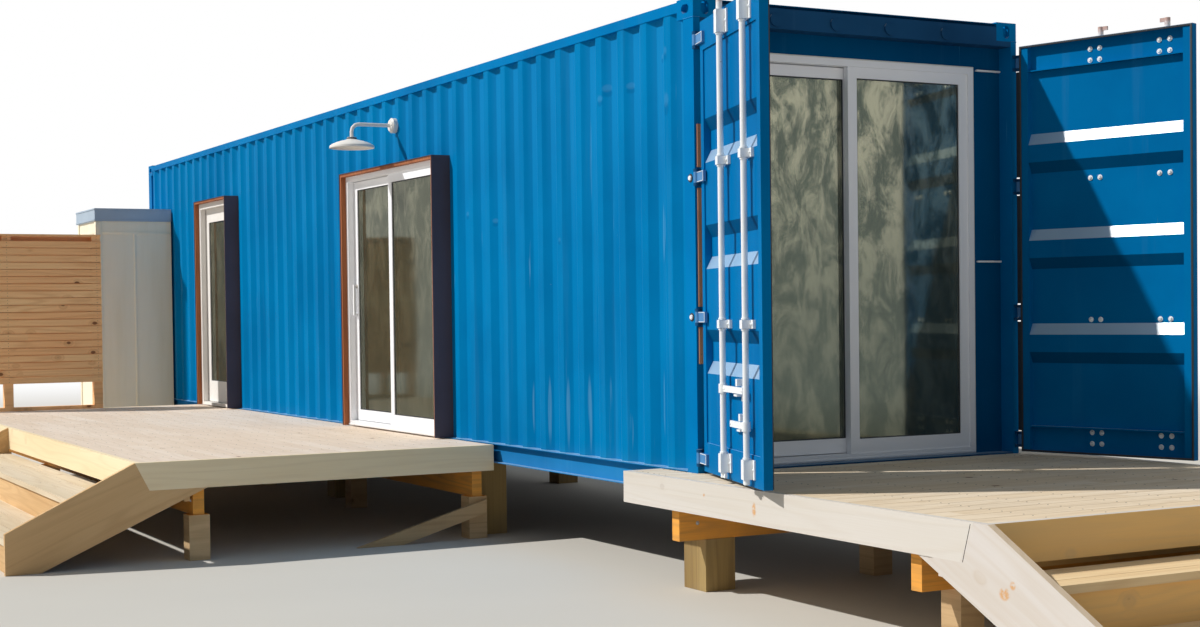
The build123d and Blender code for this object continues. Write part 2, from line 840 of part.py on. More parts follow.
# Barn light over the patio door
light_z = base + light_height
with BuildPart() as barn_light_arm:
    with BuildSketch(Plane((light_place, crest_inset, light_z), x_dir=(1, 0, 0), z_dir=(0, -1, 0))):
        Circle(light_canopy_radius)
    extrude(amount=light_canopy_depth)
    chamfer(barn_light_arm.faces().sort_by(Axis.Y)[0].edges(), light_canopy_depth * 0.3)
    pipe_start = (light_place, crest_inset - light_canopy_depth, light_z)
    elbow = (light_bend - light_reach, light_z - light_bend)
    bend = [
        (light_place, elbow[0] - light_bend * sin(radians(turn)), elbow[1] + light_bend * cos(radians(turn)))
        for turn in (0, 30, 60, 90)
    ]
    with BuildLine() as light_path:
        Polyline(pipe_start, *bend, (light_place, -light_reach, base + shade_crown))
    with BuildSketch(Plane(pipe_start, z_dir=(0, -1, 0))):
        RegularPolygon(light_pipe_radius, 12)
    sweep(path=light_path.line, transition=Transition.RIGHT)
save(barn_light_arm.part, "barn_light_arm")

skirt = shade_rim + shade_skirt
shade_outside = (
    (shade_radius, shade_rim),
    (shade_radius, skirt),
    (shade_radius * 0.86, skirt + 14),
    (shade_radius * 0.55, shade_crown - 32),
    (shade_neck, shade_crown - 24),
    (shade_neck, shade_crown),
)
shade_inside = (
    (shade_radius - shade_sheet, shade_rim),
    (shade_radius - shade_sheet, skirt - 1),
    (shade_radius * 0.85, skirt + 13 - shade_sheet),
    (shade_radius * 0.54, shade_crown - 33 - shade_sheet),
    (shade_neck, shade_crown - 26 - shade_sheet),
)
with BuildPart() as barn_light_shade:
    shade_axis = Plane((light_place, -light_reach, base), x_dir=(1, 0, 0), z_dir=(0, 0, 1))
    turned(shade_axis, shade_outside, shade_sides)
    turned(shade_axis, shade_inside, shade_sides, mode=Mode.SUBTRACT)
save(barn_light_shade.part, "barn_light_shade")


def rows(start, end, pitch=board_width + board_gap):
    """Even rows of boards that fill a span, as (low, high) pairs with the board gap between them."""
    count = max(1, round((end - start + board_gap) / pitch))
    step = (end - start + board_gap) / count
    return [(start + number * step, start + (number + 1) * step - board_gap) for number in range(count)]


fascia_bottom = deck_top - fascia_height
joist_top = deck_top - board_thickness


def stringer(plane, across, run, level, mitred):
    """A closed stringer on a plane whose x runs down the flight from the deck's edge and y across it."""
    end = (riser_count - 1) * run
    low = [(end, step_rise + stringer_rise), (end, 0), (end - stringer_foot, 0)]
    if mitred:
        outline = [(0, deck_top), *low, (-stringer_back, fascia_bottom), (-level - mitre_run, fascia_bottom)]
        if level > 0:
            outline.append((-level, deck_top))
    else:
        slope = fascia_bottom / (end - stringer_foot + stringer_back)
        outline = [(0, deck_top), *low, (0, slope * (end - stringer_foot))]
    face = Plane(
        plane.from_local_coords((0, across[1], 0)), x_dir=tuple(plane.x_dir), z_dir=tuple(-plane.y_dir)
    )
    with BuildSketch(face) as board:
        with BuildLine():
            Polyline(*outline, close=True)
        make_face()
    extrude(board.sketch, amount=across[1] - across[0])
    if mitred:
        foot = end - stringer_foot
        shift = cleat_drop * (foot + stringer_back) / fascia_bottom
        with BuildSketch(face.offset(cleat_setback)) as strip:
            with BuildLine():
                Polyline(
                    (foot, 0),
                    (-stringer_back, fascia_bottom),
                    (-stringer_back - shift, fascia_bottom),
                    (foot - shift, 0),
                    close=True,
                )
            make_face()
        extrude(strip.sketch, amount=across[1] - across[0] - 2 * cleat_setback)


def flight(prefix, plane, width, run, level, mitres):
    """Stringers joined by their risers, and the treads between a deck and the ground."""
    inside = (lumber, width - lumber)
    with BuildPart(plane) as stringers:
        stringer(plane, (0, lumber), run, level, mitres[0])
        stringer(plane, (width - lumber, width), run, level, mitres[1])
        for number in range(1, riser_count):
            front = number * run - riser_setback
            top = deck_top - number * step_rise - board_thickness
            slab((front - riser_board, front), inside, (max(0.0, top - step_rise), top))
        ledge = (-stringer_back, lumber - stringer_back)
        slab(ledge, inside, (fascia_bottom - stud_width, fascia_bottom))
    save(stringers.part, f"{prefix}_stringers")
    with BuildPart(plane) as treads:
        for number in range(1, riser_count):
            back = (number - 1) * run - (riser_setback if number > 1 else 0)
            top = deck_top - number * step_rise
            width_each = (number * run - back + board_gap) / tread_boards
            for board in range(tread_boards):
                x = back + board * width_each
                slab((x, x + width_each - board_gap), inside, (top - board_thickness, top))
    save(treads.part, f"{prefix}_treads")


# Side deck: boards along the container, framed by fascias
side_y0 = -side_deck_depth
with BuildPart() as side_deck_boards:
    for row in rows(side_y0 + lumber, -wall_gap):
        slab((side_x0 + lumber, side_deck_end - lumber), row, (joist_top, deck_top))
save(side_deck_boards.part, "side_deck_boards")

with BuildPart() as side_deck_frame:
    slab((side_x0, side_deck_end - lumber), (side_y0, side_y0 + lumber), (fascia_bottom, deck_top))
    slab((side_x0, side_x0 + lumber), (side_y0, 0), (fascia_bottom, deck_top))
    slab((side_x0, side_deck_end), (-lumber, 0), (fascia_bottom, joist_top))
    end_face = Plane((side_deck_end - lumber, 0, 0), x_dir=(0, 1, 0), z_dir=(1, 0, 0))
    with BuildSketch(end_face):
        with BuildLine():
            Polyline(
                (side_y0, deck_top),
                (0, deck_top),
                (0, fascia_bottom),
                (side_y0 + mitre_run, fascia_bottom),
                close=True,
            )
        make_face()
    extrude(amount=lumber)
    count = int((side_deck_length - 2 * lumber) // joist_spacing)
    for number in range(1, count + 1):
        x = side_x0 + number * joist_spacing
        slab((x, x + lumber), (side_y0 + lumber, -lumber), (fascia_bottom, joist_top))
save(side_deck_frame.part, "side_deck_frame")

beam_bottom = fascia_bottom - beam_height
with BuildPart() as side_deck_supports:
    for place in (side_beam_place, side_inner_beam_place):
        beam_y = (-place - beam_width / 2, -place + beam_width / 2)
        slab((side_x0 + 1.5 * lumber, side_deck_end - 1.5 * lumber), beam_y, (beam_bottom, fascia_bottom))
        x = side_deck_end - side_post_setback
        while x > side_x0:
            post_x = (x - deck_post / 2, x + deck_post / 2)
            slab(post_x, (-place - deck_post / 2, -place + deck_post / 2), (0, beam_bottom))
            x -= side_post_spacing
    brace_start = side_deck_end - side_post_setback + deck_post / 2
    with BuildSketch(Plane((brace_start, 0, 0), x_dir=(0, 1, 0), z_dir=(1, 0, 0))):
        with BuildLine():
            fall = brace_top / (brace_reach - brace_inner)
            Polyline(
                (-brace_inner, brace_top),
                (-brace_reach, 0),
                (brace_drop / fall - brace_reach, 0),
                (-brace_inner, brace_top - brace_drop),
                close=True,
            )
        make_face()
    extrude(amount=lumber)
save(side_deck_supports.part, "side_deck_supports")

side_flight = Plane((side_deck_end - side_stair_length, side_y0, 0), x_dir=(0, -1, 0), z_dir=(0, 0, 1))
flight("side", side_flight, side_stair_length, side_tread_run, 0.0, (False, True))

# Door-end deck: boards along the end, wrapped round both corners of the container
end_y0 = -end_deck_margin
end_y1 = container_width + end_deck_margin
wraps = ((end_y0, 0.0, 1), (container_width, end_y1, -1))
with BuildPart() as end_deck_boards:
    for row in rows(wall_gap, end_deck_reach - lumber):
        slab(row, (end_y0 + lumber, end_y1 - lumber), (joist_top, deck_top))
    for row in rows(lumber - end_deck_wrap, wall_gap - board_gap):
        slab(row, (end_y0 + lumber, -wall_gap), (joist_top, deck_top))
        slab(row, (container_width + wall_gap, end_y1 - lumber), (joist_top, deck_top))
save(end_deck_boards.part, "end_deck_boards")

with BuildPart() as end_deck_frame:
    for y in (end_y0 + lumber, end_y1):
        with BuildSketch(Plane((0, y, 0), x_dir=(1, 0, 0), z_dir=(0, -1, 0))):
            with BuildLine():
                Polyline(
                    (-end_deck_wrap, deck_top),
                    (end_deck_reach - end_stringer_level, deck_top),
                    (end_deck_reach - end_stringer_level - mitre_run, fascia_bottom),
                    (-end_deck_wrap, fascia_bottom),
                    close=True,
                )
            make_face()
        extrude(amount=lumber)
    inner = (end_y0 + lumber, end_y1 - lumber)
    slab((end_deck_reach - lumber, end_deck_reach), inner, (fascia_bottom, deck_top))
    slab((0, lumber), inner, (fascia_bottom, joist_top))
    for low, high, way in wraps:
        wall = 0.0 if way > 0 else container_width
        outer = low if way > 0 else high
        strip = sorted((wall, wall - way * lumber))
        cleat = sorted((outer + way * lumber, outer + way * 2 * lumber))
        slab((-end_deck_wrap, 0), strip, (fascia_bottom, joist_top))
        slab((-end_deck_wrap, 0), cleat, (fascia_bottom, joist_top))
        end_board = sorted((outer + way * lumber, wall))
        slab((-end_deck_wrap, lumber - end_deck_wrap), end_board, (fascia_bottom, deck_top))
    joist_count = int((inner[1] - inner[0]) // joist_spacing)
    joist_step = (inner[1] - inner[0]) / (joist_count + 1)
    for number in range(1, joist_count + 1):
        y = inner[0] + number * joist_step
        slab((lumber, end_deck_reach - lumber), (y - lumber / 2, y + lumber / 2), (fascia_bottom, joist_top))
save(end_deck_frame.part, "end_deck_frame")

end_beam_far = end_deck_reach - end_beam_setback
with BuildPart() as end_deck_supports:
    beam_span = (end_y0 + 1.5 * lumber, end_y1 - 1.5 * lumber)
    for x in (end_beam_near, end_beam_far):
        slab((x, x + beam_width), beam_span, (beam_bottom, fascia_bottom))
    for x, places in (
        (end_beam_near, (container_width / 2,)),
        (end_beam_far, (deck_post / 2, container_width / 2, container_width - deck_post / 2)),
    ):
        for y in places:
            slab(
                (x + beam_width / 2 - deck_post / 2, x + beam_width / 2 + deck_post / 2),
                (y - deck_post / 2, y + deck_post / 2),
                (0, beam_bottom),
            )
save(end_deck_supports.part, "end_deck_supports")

end_flight = Plane((end_deck_reach, end_y0, 0), x_dir=(1, 0, 0), z_dir=(0, 0, 1))
flight("end", end_flight, end_y1 - end_y0, end_tread_run, end_stringer_level, (True, True))

# Piers under the container; the pair at the door end also carries the deck's near beam
with BuildPart() as piers:
    for wall, way in ((0.0, 1), (container_width, -1)):
        foot = sorted((wall - way * 30, wall + way * (pier_size - 30)))
        pier_start = end_beam_near + beam_width - corner_pier_size
        slab((pier_start, end_beam_near + beam_width + 4), foot, (0, beam_bottom))
        head = sorted((wall, wall + way * (pier_size - 30)))
        slab((pier_start, 0), head, (beam_bottom, base))
        across = sorted((wall, wall + way * pier_size))
        for number in range(1, pier_bays + 1):
            x = -number * container_length / pier_bays
            if number < pier_bays:
                slab((x - pier_size / 2, x + pier_size / 2), across, (0, base + rail_lift))
            else:
                slab((x, x + pier_size * 0.85), across, (0, base))
save(piers.part, "piers")

# Slatted screen at the far end of the side deck
screen_x = (side_x0 + 10, side_x0 + 10 + screen_post)
slat_x = (screen_x[1], screen_x[1] + slat_thickness)
screen_top = deck_top + screen_height
with BuildPart() as screen:
    post_centres = (-screen_start - screen_post / 2, -screen_end + screen_post / 2)
    middle = -screen_start - screen_post / 2 - 915.0
    for y in (*post_centres, middle):
        slab(screen_x, (y - screen_post / 2, y + screen_post / 2), (deck_top, screen_top - cap_thickness))
    z = deck_top + screen_bottom
    while z + slat_height <= screen_top - cap_thickness:
        slab(slat_x, (-screen_end, -screen_start), (z, z + slat_height))
        z += slat_height + slat_gap
    slab((screen_x[0], slat_x[1]), (-screen_end, -screen_start), (screen_top - cap_thickness, screen_top))
    slab(screen_x, (-screen_end, -screen_start), (deck_top, deck_top + lumber))
save(screen.part, "screen")

# Utility closet against the far end of the door side
closet_x = (closet_start, closet_start + closet_length)
with BuildPart() as closet:
    slab(closet_x, (-closet_depth, 0), (closet_skid, base + closet_height))
    for y in (-closet_depth, -lumber * 2):
        slab(closet_x, (y, y + lumber * 2), (0, closet_skid))
save(closet.part, "utility_closet")

with BuildPart() as closet_roof:
    slab(
        (closet_x[0] - closet_overhang, closet_x[1] + closet_overhang),
        (-closet_depth - closet_overhang, 0),
        (base + closet_height, base + closet_height + closet_roof_height),
    )
save(closet_roof.part, "utility_closet_roof")
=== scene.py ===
"""Container cabin: finishes, small fittings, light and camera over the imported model.

All places are in metres in the model's own frame: +X to the door end, +Y from the deck side inwards, +Z up.
"""

from math import cos, pi, radians, sin

import bmesh
import bpy
from mathutils import Matrix, Vector


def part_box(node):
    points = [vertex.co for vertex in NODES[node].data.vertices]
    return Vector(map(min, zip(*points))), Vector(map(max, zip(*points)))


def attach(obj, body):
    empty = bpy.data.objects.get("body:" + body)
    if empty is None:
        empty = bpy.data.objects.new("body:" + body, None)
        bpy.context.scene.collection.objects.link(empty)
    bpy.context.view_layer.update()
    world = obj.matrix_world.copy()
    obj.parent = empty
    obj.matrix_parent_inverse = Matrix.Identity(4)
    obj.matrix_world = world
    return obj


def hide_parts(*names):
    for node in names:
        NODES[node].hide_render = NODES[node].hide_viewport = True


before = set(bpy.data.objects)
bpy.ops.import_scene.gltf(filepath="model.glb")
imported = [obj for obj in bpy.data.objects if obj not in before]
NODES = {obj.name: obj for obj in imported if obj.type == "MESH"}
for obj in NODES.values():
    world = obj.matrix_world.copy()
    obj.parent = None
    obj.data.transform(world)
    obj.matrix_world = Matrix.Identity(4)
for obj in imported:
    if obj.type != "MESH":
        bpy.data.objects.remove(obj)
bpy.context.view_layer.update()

# Directions
PLUS_X = (1.0, 0.0, 0.0)
PLUS_Y = (0.0, 1.0, 0.0)
MINUS_Y = (0.0, -1.0, 0.0)
PLUS_Z = (0.0, 0.0, 1.0)

# The container's underside and width, and the tops of the decks and of the floor
BASE = 0.530
WIDTH = 2.438
DECK = 0.670
FLOOR = 0.680

# The cargo doors: how far they stand open and where their hinge sides lie. Then, along a leaf from there and
# up from the base, their hinges, their rods and the rods' handles
LEAF_ANGLES = {"left": radians(107.5), "right": radians(105.0)}
HINGE_LINE = 0.018
HINGE_LEVELS = (0.232, 1.046, 1.852, 2.640)
ROD_PLACES = {"inner": 0.575, "outer": 1.015}
HANDLE_LEVELS = {"inner": 0.659, "outer": 0.476}
HANDLE_WAYS = {"inner": 1, "outer": -1}
HANDLE_REACHES = {"inner": 0.375, "outer": 0.275}

# The folds of the long walls
FOLD_PITCH = 0.278
FOLD_DEPTH = 0.034
FOLD_MIDDLE = -0.157

# Boards, joists, steps and slats: where the first one starts and how far it is to the next
SIDE_BOARDS_START = -2.545
END_BOARDS_START = 0.003
END_BOARD_PITCH = 0.14258
SIDE_JOISTS_START = -10.036
SIDE_JOIST_PITCH = 0.406
END_JOISTS_START = -0.222
END_JOIST_PITCH = 0.36025
END_STEPS_START = 2.745
END_STEP_RUN = 0.370
SIDE_STEPS_START = -2.583
SIDE_STEP_RUN = 0.414
STEP_RISE = 0.22333
SLATS_START = 0.952
SLAT_PITCH = 0.074
SLAT_COUNT = 21

# The slopes of the two flights of steps, as angles
FLIGHT_SLOPES = {"end": 0.452, "side": -0.419}

# The middle of the barn light and the level of its rim
LAMP_X = -4.500
LAMP_Y = -0.370
LAMP_RIM = 2.942


# Shader tools


class Number:
    """A number socket: arithmetic on it adds Math nodes to the tree that it belongs to."""

    def __init__(self, nodes, socket):
        self.nodes = nodes
        self.socket = socket

    def maths(self, operation, first, second=0.0):
        return self.nodes.number("ShaderNodeMath", {"operation": operation}, {0: first, 1: second})

    def __add__(self, other):
        return self.maths("ADD", self, other)

    __radd__ = __add__

    def __sub__(self, other):
        return self.maths("SUBTRACT", self, other)

    def __rsub__(self, other):
        return self.maths("SUBTRACT", other, self)

    def __mul__(self, other):
        return self.maths("MULTIPLY", self, other)

    __rmul__ = __mul__

    def __truediv__(self, other):
        return self.maths("DIVIDE", self, other)

    def __pow__(self, other):
        return self.maths("POWER", self, other)

    def __abs__(self):
        return self.maths("ABSOLUTE", self)

    def floor(self):
        return self.maths("FLOOR", self)

    def modulo(self, other):
        return self.maths("FLOORED_MODULO", self, other)

    def least(self, other):
        return self.maths("MINIMUM", self, other)

    def most(self, other):
        return self.maths("MAXIMUM", self, other)


class Nodes:
    """A node tree, and the one way in which nodes are added to it."""

    def __init__(self, tree):
        self.tree = tree
        self.tree.nodes.clear()

    def node(self, kind, settings=None, sockets=None):
        made = self.tree.nodes.new(kind)
        for key, value in (settings or {}).items():
            setattr(made, key, value)
        for key, value in (sockets or {}).items():
            self.feed(made.inputs[key], value)
        return made

    def feed(self, socket, value):
        if isinstance(value, Number):
            value = value.socket
        if isinstance(value, bpy.types.NodeSocket):
            self.tree.links.new(value, socket)
        elif isinstance(value, (tuple, list)) and socket.type == "RGBA":
            socket.default_value = (*value[:3], 1.0)
        else:
            socket.default_value = value

    def number(self, kind, settings, sockets):
        return Number(self, self.node(kind, settings, sockets).outputs[0])


class Finish(Nodes):
    """One material and the patterns that it is mixed from, all read in object coordinates."""

    def __init__(self, name):
        self.material = bpy.data.materials.new(name)
        self.material.use_nodes = True
        super().__init__(self.material.node_tree)
        source = self.node("ShaderNodeTexCoord").outputs
        self.place = source["Object"]
        self.x, self.y, self.z = self.parts(self.place)
        self.face_x, _, self.face_z = self.parts(source["Normal"])

    def parts(self, vector):
        return [Number(self, part) for part in self.node("ShaderNodeSeparateXYZ", {}, {0: vector}).outputs]

    def stretched(self, scale, shift=(0.0, 0.0, 0.0)):
        sockets = {"Vector": self.place, "Scale": scale, "Location": shift}
        return self.node("ShaderNodeMapping", {}, sockets).outputs[0]

    def noise(self, scale, detail=3.0, rough=0.5, vector=None, twist=0.0):
        sockets = {"Vector": vector or self.place, "Scale": scale, "Detail": detail}
        sockets |= {"Roughness": rough, "Distortion": twist}
        return self.number("ShaderNodeTexNoise", {}, sockets)

    def chance(self, seed):
        return self.number("ShaderNodeTexWhiteNoise", {"noise_dimensions": "1D"}, {"W": seed})

    def ease(self, value, low, high):
        """Zero below low, one above high, smooth between; the other way round when low is above high."""
        settings = {"interpolation_type": "SMOOTHSTEP"}
        sockets = {"Value": value, "From Min": min(low, high), "From Max": max(low, high)}
        rise = self.number("ShaderNodeMapRange", settings, sockets)
        return rise if low <= high else 1.0 - rise

    def spot(self, x, z, width, height):
        """One in the middle of an oval on the deck side's wall, zero outside it. Its sizes are half sizes."""
        reach = ((self.x - x) / width) ** 2.0 + ((self.z - z) / height) ** 2.0
        return self.ease(reach, 1.0, 0.2)

    def blend(self, factor, first, second, kind="MIX"):
        settings = {"data_type": "RGBA", "blend_type": kind}
        return self.node("ShaderNodeMix", settings, {0: factor, 6: first, 7: second}).outputs[2]

    def bump(self, height, depth, under=None):
        sockets = {"Height": height, "Distance": depth, "Strength": 1.0}
        if under is not None:
            sockets["Normal"] = under
        return self.node("ShaderNodeBump", {}, sockets).outputs[0]

    def surface(self, colour, rough, normal=None, **constants):
        sockets = {"Base Color": colour, "Roughness": rough}
        if normal is not None:
            sockets["Normal"] = normal
        for key, value in constants.items():
            sockets[key.replace("_", " ").title().replace("Ior", "IOR")] = value
        self.output(self.node("ShaderNodeBsdfPrincipled", {}, sockets).outputs[0])
        return self.material

    def output(self, socket):
        self.node("ShaderNodeOutputMaterial", {}, {0: socket})


def tone(red, green, blue):
    """A colour given as it looks on screen, 0 to 255, as the linear values that shaders take."""
    shares = [level / 255 for level in (red, green, blue)]
    return tuple(part / 12.92 if part <= 0.04045 else ((part + 0.055) / 1.055) ** 2.4 for part in shares)


# Pale wear of the blue paint; the same colour also paints highlights on folds, dents and glints
PALE_WEAR_AND_SHEEN = tone(120, 176, 214)
# Blue of the painted sheen in the upper ends of the wall's recesses
RECESS_SHEEN_BLUE = tone(30, 134, 196)
# Blue of the painted shade below dents
DENT_SHADE_BLUE = tone(0, 74, 128)
# Pale blue for faces that look up: partly dust, partly painted sheen
UPWARD_DUST_AND_SHEEN = tone(200, 226, 244)
# Blue of the painted shade on faces that look down
UNDERSIDE_SHADE_BLUE = tone(0, 34, 64)
DRIP_GREY = tone(176, 168, 172)
CHIP_GREY = tone(128, 120, 116)
RUST = tone(178, 120, 96)
SAP = tone(214, 152, 76)
KNOT = tone(112, 66, 38)
GRIME = tone(120, 114, 104)
DUST = tone(178, 170, 158)


# Finishes


def steel_paint(
    name, colour, shade, faded=PALE_WEAR_AND_SHEEN, up_dust_and_sheen=0.3, gloss=0.42, fold_sheen=0.0, glare_and_underside_shade=0.0, dent_shading=(), glints=()
):
    """Satin paint on steel: clouds, faint rain streaks and rubs, slightly wavy, and paler where it looks up,
    partly as dust and partly as painted sheen.

    Up dust and sheen is how much paler. Fold sheen paints the upper ends of a wall's recesses paler, and the
    fold faces that look towards -X lighter, both as painted highlight. Glare and underside shade is the gloss
    of a coat on folds that look up, and it also paints shade on folds that look down. Dent shading gives the
    places and half sizes of painted shade and highlight round dents on the front wall, and glints those of
    painted glints there.
    """
    finish = Finish(name)
    clouds = finish.noise(0.9, 4, 0.55)
    streaks = finish.noise(1.0, 4, 0.6, finish.stretched((9.0, 9.0, 0.35)))
    fine = finish.noise(60.0, 2, 0.5)
    skin = finish.blend(finish.ease(clouds, 0.35, 0.70), colour, shade)
    skin = finish.blend(finish.ease(streaks, 0.55, 0.82) * 0.07, skin, faded)
    if fold_sheen:
        # Painted sheen: the upper ends of the recesses turn paler
        recess_sheen_mask = finish.ease(finish.y, 0.014, 0.036) * finish.ease(finish.z, BASE + 1.3, BASE + 2.7)
        skin = finish.blend(recess_sheen_mask * fold_sheen, skin, RECESS_SHEEN_BLUE)
        # Painted highlight on the fold faces that look towards -X
        edge = finish.ease(abs(finish.face_x), 0.35, 0.75) * finish.ease(finish.face_x, 0.0, -0.2)
        skin = finish.blend(edge * 0.10, skin, faded)
    rubs = finish.noise(1.0, 3, 0.6, finish.stretched((34.0, 34.0, 1.2), (0.2, 5.0, 0.3)))
    chips = finish.noise(17.0, 5, 0.7)
    worn = (finish.ease(rubs, 0.70, 0.77) * 0.30 + finish.ease(chips, 0.735, 0.76) * 0.35).least(0.6)
    skin = finish.blend(worn, skin, faded)
    # Painted shade below the middle of each dent and a painted highlight above it
    for x, z, width, height in dent_shading:
        skin = finish.blend(finish.spot(x, z - height * 0.7, width, height) * 0.26, skin, DENT_SHADE_BLUE)
        skin = finish.blend(finish.spot(x, z + height * 0.4, width, height) * 0.10, skin, faded)
    # Painted glints: pale streaks on the folds, broken up by the rubs
    for x, z, width, height in glints:
        painted_glint = finish.spot(x, z, width, height) * finish.ease(rubs, 0.38, 0.62)
        skin = finish.blend(painted_glint * 0.34, skin, faded)
    # Faces that look up turn paler: partly dust, partly painted sheen
    looks_up = finish.ease(finish.face_z, 0.15, 0.40)
    skin = finish.blend(looks_up * up_dust_and_sheen, skin, UPWARD_DUST_AND_SHEEN)
    # Painted shade: folds that look down are darkened
    if glare_and_underside_shade:
        underside_shade = finish.ease(finish.face_z, -0.15, -0.40)
        skin = finish.blend(underside_shade * 0.50, skin, UNDERSIDE_SHADE_BLUE)
    foot = finish.ease(finish.z + clouds * 0.2, BASE + 0.34, BASE + 0.08)
    skin = finish.blend(foot * 0.14, skin, faded)
    ripple = finish.noise(1.0, 2, 0.4, finish.stretched((2.6, 2.6, 1.4)))
    normal = finish.bump(ripple, 0.010, finish.bump(fine, 0.0002))
    rough = gloss + clouds * 0.08 + worn * 0.2
    coat = {"coat_weight": looks_up * glare_and_underside_shade, "coat_roughness": 0.30, "coat_ior": 1.8} if glare_and_underside_shade else {}
    return finish.surface(skin, rough, normal, specular_ior_level=0.012, **coat)


def worn_white(name, hinges=None):
    """Off-white paint on galvanised gear, with grey drips, small chips and rust at the tops of the rods.

    The hinge blades, next to the posts, are painted with the leaf where their colour is given.
    """
    finish = Finish(name)
    clouds = finish.noise(5.0, 4, 0.6)
    chips = finish.noise(42.0, 4, 0.7)
    drips = finish.noise(1.0, 3, 0.6, finish.stretched((46.0, 46.0, 1.6)))
    skin = finish.blend(clouds, tone(248, 250, 251), tone(232, 236, 240))
    skin = finish.blend(finish.ease(drips, 0.58, 0.80) * 0.30, skin, DRIP_GREY)
    worn = finish.ease(chips, 0.68, 0.71)
    skin = finish.blend(worn * 0.6, skin, CHIP_GREY)
    if hinges:
        beside_post = finish.ease(finish.x + chips * 0.02, 0.330, 0.320)
        skin = finish.blend(beside_post * 0.92, skin, hinges)
    rust = finish.ease(finish.z + chips * 0.08, BASE + 2.78, BASE + 2.83)
    skin = finish.blend(rust * 0.75, skin, RUST)
    rough = 0.40 + worn * 0.2 + rust * 0.3
    return finish.surface(skin, rough, finish.bump(chips, 0.0005), specular_ior_level=0.4)


def timber(
    name, pale, deep, dark, run, rows=None, knots=0.10, strength=1.0,
    wear=0.0, lean=0.0, warm=None, stains=(),
):
    """Softwood: fine fibre, long soft growth lines and sparse knots, along the way that each board runs.

    Run is x, y or z, or xy for a frame whose boards turn its corners. Rows are the axis, start, pitch and
    butt length of boards laid side by side. Lean is the slope of the boards that run down a flight. Warm is
    a deeper colour and where it lies: on the boards that face along x, or on those above a height. Stains
    are the places and half sizes of patches of sap.
    """
    finish = Finish(name)
    x, y, z = finish.x, finish.y, finish.z
    if run == "x":
        along, across, height = x, y, z
    elif run == "y":
        along, across, height = y, x, z
    elif run == "z":
        along, across, height = z, x, y
    else:
        turned = finish.ease(abs(finish.face_x), 0.4, 0.6)
        tip_x, tip_y = (lean, 0.0) if lean > 0 else (0.0, lean)
        along_x, height_x = x * cos(tip_x) - z * sin(tip_x), z * cos(tip_x) + x * sin(tip_x)
        along_y, height_y = y * cos(tip_y) - z * sin(tip_y), z * cos(tip_y) + y * sin(tip_y)
        along = along_x + (along_y - along_x) * turned
        height = height_x + (height_y - height_x) * turned
        across = y + (x - y) * turned
    lot = None
    if rows is not None:
        axis, start, pitch, butt = rows
        row = (({"x": x, "y": y, "z": z}[axis] - start) / pitch).floor()
        piece = (along / butt + finish.chance(row) * 7.0).floor() + row * 13.0
        lot = finish.chance(piece)
        along = along + lot * 23.0
    wood = finish.node("ShaderNodeCombineXYZ", {}, {0: along, 1: across, 2: height}).outputs[0]

    def scaled(lengthwise, crosswise):
        scale = (lengthwise, crosswise, crosswise)
        return finish.node("ShaderNodeMapping", {}, {"Vector": wood, "Scale": scale}).outputs[0]

    cells = finish.node("ShaderNodeTexVoronoi", {"feature": "F1"}, {"Vector": scaled(5.0, 7.5), "Scale": 1.0})
    away = Number(finish, cells.outputs["Distance"])
    draw = finish.number("ShaderNodeSeparateColor", {}, {0: cells.outputs["Color"]})
    chosen = finish.ease(draw, knots, knots - 0.01)
    knot = finish.ease(away, 0.15, 0.10) * chosen
    halo = finish.ease(away, 0.42, 0.10) * chosen
    waves = finish.noise(1.0, 2, 0.5, scaled(0.30, 4.5)) * 1.6 + halo * 0.22
    lines = finish.ease(abs((waves * 7.0).modulo(1.0) - 0.5) * 2.0, 0.35, 1.0)
    fibre = finish.noise(1.0, 4, 0.65, scaled(2.2, 150.0))
    broad = finish.noise(1.0, 3, 0.5, scaled(0.4, 2.6))
    skin = finish.blend(finish.ease(broad, 0.3, 0.7), tone(*pale), tone(*deep))
    if warm is not None:
        colour, where = warm
        if where == "turned":
            share = finish.ease(abs(finish.face_x), 0.4, 0.6)
        else:
            share = finish.ease(z, where, where + 0.002)
        deeper = tone(*[part * 0.88 for part in colour])
        skin = finish.blend(share, skin, finish.blend(broad, tone(*colour), deeper))
    for place_x, place_z, width, length in stains:
        ragged = finish.ease(finish.noise(38.0, 3, 0.6), 0.36, 0.56)
        skin = finish.blend(finish.spot(place_x, place_z, width, length) * ragged * 0.8, skin, SAP)
    skin = finish.blend(lines * (0.26 * strength), skin, tone(*dark))
    skin = finish.blend(finish.ease(fibre, 0.42, 0.75) * (0.22 * strength), skin, tone(*dark))
    if lot is not None:
        skin = finish.blend(lot * 0.40 * strength, skin, tone(*deep))
    skin = finish.blend(halo * 0.35, skin, tone(*dark))
    skin = finish.blend(knot * 0.85, skin, KNOT)
    if wear:
        grime = finish.noise(2.2, 5, 0.6)
        skin = finish.blend(finish.ease(grime, 0.42, 0.75) * wear, skin, GRIME)
    normal = finish.bump(fibre * 0.6 + lines * 0.4, 0.0008)
    return finish.surface(skin, 0.66 + fibre * 0.12, normal, specular_ior_level=0.25)


def vinyl(name):
    """White extruded frame: nearly even, with faint dirt low down and a soft gloss."""
    finish = Finish(name)
    clouds = finish.noise(3.0, 3, 0.5)
    skin = finish.blend(clouds, tone(252, 253, 255), tone(244, 246, 252))
    low = finish.ease(finish.z + clouds * 0.08, FLOOR + 0.16, FLOOR + 0.02) * 0.22
    skin = finish.blend(low, skin, DUST)
    return finish.surface(skin, 0.32 + clouds * 0.08, finish.bump(finish.noise(220.0, 2), 0.00015))


